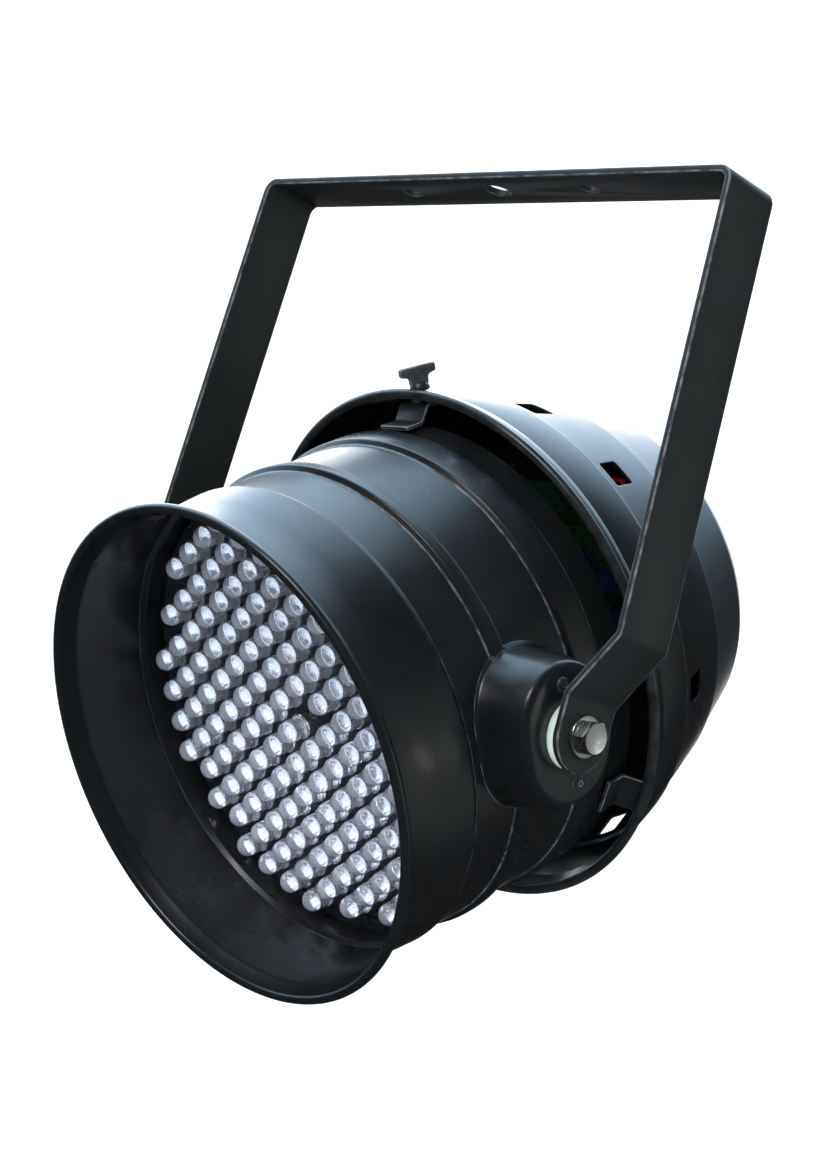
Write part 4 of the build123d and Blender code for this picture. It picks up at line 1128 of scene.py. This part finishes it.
def digit_segments():
    """Seven thin bars of each of the four digits, on the front of the module."""
    digit_pitch, length, breadth = 9.2, 3.9, 0.9
    lying = [(0, dz, length, breadth) for dz in (5.0, 0, -5.0)]
    standing = [(dx, dz, breadth, length) for dz in (2.5, -2.5) for dx in (-2.6, 2.6)]
    whole = Form()
    for digit in range(4):
        x0 = (digit - 1.5) * digit_pitch
        for dx, dz, w, h in lying + standing:
            left, right, cut = x0 + dx - w / 2, x0 + dx + w / 2, breadth / 2
            outline = [(left, dz), (left + cut, dz + h / 2), (right - cut, dz + h / 2), (right, dz),
                       (right - cut, dz - h / 2), (left + cut, dz - h / 2)]
            whole.add(plate([outline], 0.3, 0.08))
    return whole


# ================================================================ the pieces, body by body
def on_head(name, form, slot, node, places=None, **shading):
    """One piece of the head, or copies of it at the places."""
    form = form if places is None else copies(form, places)
    make_piece(name, form, slot, "head", [node], **shading)


def on_cap(name, form, slot, node, places, **shading):
    """Copies of a form as one piece of the rear cap."""
    make_piece(name, copies(form, places), slot, "rear_cap", [node], **shading)


def build_yoke():
    make_piece("yoke_strap", make_yoke(), "yoke_paint", "yoke", ["yoke"],
               Matrix.Translation((0, 0, 0)), 28)
    pivot_place = Matrix.Translation(pivot)
    for name, form, slot, node, x in (
            ("friction_discs", washer(14.0, 4.1, 4.0, 0.5), "friction_fibre", "friction_washers", ear_reach),
            ("bolt_washers", washer(8.6, 4.1, washer_thickness, 0.35), "zinc", "outer_washers", foot_outer)):
        make_piece(name, copies(form, [along_x(1, x), along_x(-1, x)]), slot, "yoke", [node], pivot_place)


def build_head():
    on_head("barrel_shell", make_barrel(), "can_paint", "barrel", crease=40)
    ear = make_ear()
    on_head("ear_right_pressing", ear, "can_paint", "ear_right", crease=50)
    on_head("ear_left_pressing", ear.mirrored(), "can_paint", "ear_left", crease=50)
    rivet = rivet_head(3.2, 1.5)
    places = [along_x(side, ear_reach, 0, z) for side in (1, -1) for z in (21.0, -21.0)]
    on_head("ear_rivet_heads", rivet, "rivet_black", "ear_rivets", places)
    slot = block((-2.9, 2.9), (thumb_place, 80), (108, 115))
    slot_end = prism(circle(2.9, 32, 0, thumb_place), 108, 115)
    catch = worked(bracket_strip(catch_shelf, 0), cutters=[slot, slot_end])
    on_head("catch_bracket", catch, "bracket_paint", "cap_catch_bracket")
    rests = Form().add(bracket_strip(112.8, 120)).add(bracket_strip(112.8, 240))
    on_head("rest_brackets", rests, "bracket_paint", "cap_rest_brackets")
    places = [outward(a, 53.0, 104.5) for a in (0, 120, 240)]
    on_head("bracket_rivet_heads", rivet, "rivet_black", "cap_bracket_rivets", places)
    places = [facing_front(x, z, 37.0 * i) for i, (x, z) in enumerate(led_places())]
    on_head("led_lenses", led_lens(), "led_clear", "leds", places, crease=40)
    on_head("led_frames", led_frame(), "contact_silver", "leds", places, crease=35)
    screw = cross_screw(2.8, 2.0, 1.45, 6.0)
    on_head("centre_screw_head", screw, "black_steel", "centre_screw", [facing_front(0, 0)])
    places = [facing_front(x, z, 25) for x, z in board_screw_places()]
    on_head("board_screw_heads", screw, "black_steel", "led_board_screws", places)


def build_bolts():
    bolt = Form().add(hexagon_head(13.0, 5.3)).add(threaded_shank(4.0, 0.1, -21.0, 1.25, 40))
    for side, name in ((1, "right"), (-1, "left")):
        placed = copies(bolt, [along_x(side, foot_outer + washer_thickness) @ turn(8, "Z")])
        body = f"pivot_bolt_{name}"
        make_piece(f"bolt_{name}", placed, "zinc", body, [body], Matrix.Translation(pivot), 28)


def build_cap():
    make_piece("cap_shell", make_cap(), "cap_paint", "rear_cap", ["rear_cap"], crease=40)
    make_piece("thumb_screw_wing", make_thumb_screw(), "black_steel", "thumb_screw", ["thumb_screw"])
    on_cap("panel_plate", make_panel(), "panel_paint", "rear_panel", [on_panel(0, 0, panel_inner)], crease=20)
    screw = cross_screw(2.8, 2.0, 1.45, 6.0)
    places = [on_panel(x, z) @ turn(17 * i, "Z") for i, (x, z) in enumerate(panel_screw_places())]
    on_cap("panel_screw_heads", screw, "black_steel", "panel_screws", places)
    spots = [(side * socket_across + s * socket_screw_x, socket_height + s * socket_screw_z)
             for side in (-1, 1) for s in (-1, 1)]
    face = panel_face + flange_thickness
    places = [on_panel(x, z, face) @ turn(23 * i, "Z") for i, (x, z) in enumerate(spots)]
    on_cap("socket_screw_heads", screw, "black_steel", "socket_screws", places)
    socket, floor = socket_flange(), panel_face - well_depth
    for name, side in (("in", -1), ("out", 1)):
        places = [on_panel(side * socket_across, socket_height)]
        on_cap(f"signal_{name}_shell", socket, "socket_body", f"signal_{name}_socket", places, crease=20)
    pins = [on_panel(-socket_across, socket_height, floor) @ at(x, y) for x, y in contact_places(0)]
    on_cap("signal_in_contacts", contact_pin(), "contact_silver", "signal_in_pins", pins)
    places = [on_panel(socket_across, socket_height, floor)]
    on_cap("signal_out_core", signal_insert(), "socket_body", "signal_out_insert", places)
    gland, fuse = [on_panel(gland_across, gland_height)], [on_panel(-gland_across, gland_height)]
    on_cap("gland_nut", make_gland_dome(), "gland_nylon", "gland_dome_nut", gland, crease=24)
    on_cap("gland_stem", make_gland_body(), "gland_nylon", "gland_body", gland, crease=24)
    on_cap("fuse_collar", make_fuse_rim(), "socket_body", "fuse_holder", fuse)
    make_piece("fuse_knob", copies(make_fuse_cap(), fuse), "socket_body", "fuse_cap", ["fuse_cap"])
    for i in range(4):
        body = f"menu_button_{i + 1}"
        key = copies(make_button(), [on_panel((i - 1.5) * key_pitch, key_height)])
        make_piece(f"key_{i + 1}", key, "button_plastic", body, [body])
    bars = copies(digit_segments(), [on_panel(0, display_height, display_face)])
    make_piece("digit_bars", bars, "connector_plastic", "rear_cap")


def finish_cad_nodes():
    """The CAD nodes that stay get their slot's finish."""
    for entry in frame["record"]["subparts"]:
        for place in nodes[entry["node"]].material_slots:
            place.material = slots[entry["material_slot"]]


def add_stage():
    """A pale floor that curves up into a wall all round. Reflections don't show it."""
    floor, flat, bend, top, thickness = -0.60, 2.0, 1.5, 3.2, 0.02
    outline = [(0.0, floor), (flat, floor)]
    for a in range(6, 91, 6):
        outline.append((flat + bend * sin(radians(a)), floor + bend - bend * cos(radians(a))))
    wall = flat + bend
    outline += [(wall, top), (wall + thickness, top), (wall + thickness, floor - thickness),
                (0.0, floor - thickness)]
    form = turned_part([(r / MM, z / MM) for r, z in outline], 96)
    mesh = form.mesh("pale_sweep")
    mesh.shade_smooth()
    mesh.materials.append(stage_finish())
    sweep = bpy.data.objects.new("pale_sweep", mesh)
    bpy.context.scene.collection.objects.link(sweep)
    sweep.visible_glossy = False


def add_light():
    """The room's glow from four directions, and two softboxes."""
    world = bpy.data.worlds.new("room")
    bpy.context.scene.world = world
    world.use_nodes = True
    tree = world.node_tree
    towards = tree.nodes.new("ShaderNodeTexCoord").outputs["Generated"]
    glow = (0.02, 0.02, 0.021)
    for direction, edge, full, colour in (
            ((-0.66, 0.20, 0.71), 0.46, 0.93, (2.3, 3.2, 4.1)),
            ((-0.70, 0.62, 0.36), 0.88, 0.99, (3.20, 2.20, 1.20)),
            ((0.74, 0.70, 0.12), 0.80, 0.98, (0.22, 0.23, 0.22)),
            ((0.10, -0.85, 0.50), 0.70, 0.98, (0.10, 0.11, 0.12))):
        facing = tree.nodes.new("ShaderNodeVectorMath")
        facing.operation = "DOT_PRODUCT"
        link(tree, towards, facing.inputs[0])
        facing.inputs[1].default_value = Vector(direction).normalized()
        share = ranged(tree, facing.outputs["Value"], edge, full)
        share.node.interpolation_type = "SMOOTHSTEP"
        patch = mixed(tree, share, (0.0, 0.0, 0.0), colour)
        total = tree.nodes.new("ShaderNodeMix")
        total.data_type, total.blend_type = "RGBA", "ADD"
        total.inputs["Factor"].default_value = 1.0
        link(tree, patch, total.inputs[6])
        if isinstance(glow, tuple):
            total.inputs[7].default_value = (*glow, 1.0)
        else:
            link(tree, glow, total.inputs[7])
        glow = total.outputs[2]
    link(tree, glow, tree.nodes["Background"].inputs["Color"])
    tree.nodes["Background"].inputs["Strength"].default_value = 1.0
    add_softbox("front_box", (0.3, -1.9, 0.7), pivot, 0.9, 0.6, 10.0, (0.92, 0.93, 1.0))
    add_softbox("side_strip", (1.6, 1.3, 0.1), pivot, 0.25, 0.35, 1.6, (1.0, 1.0, 1.0))


add_camera()
add_stage()
add_light()
build_yoke()
build_head()
build_bolts()
build_cap()
finish_cad_nodes()
bpy.context.scene.view_settings.view_transform = "Standard"
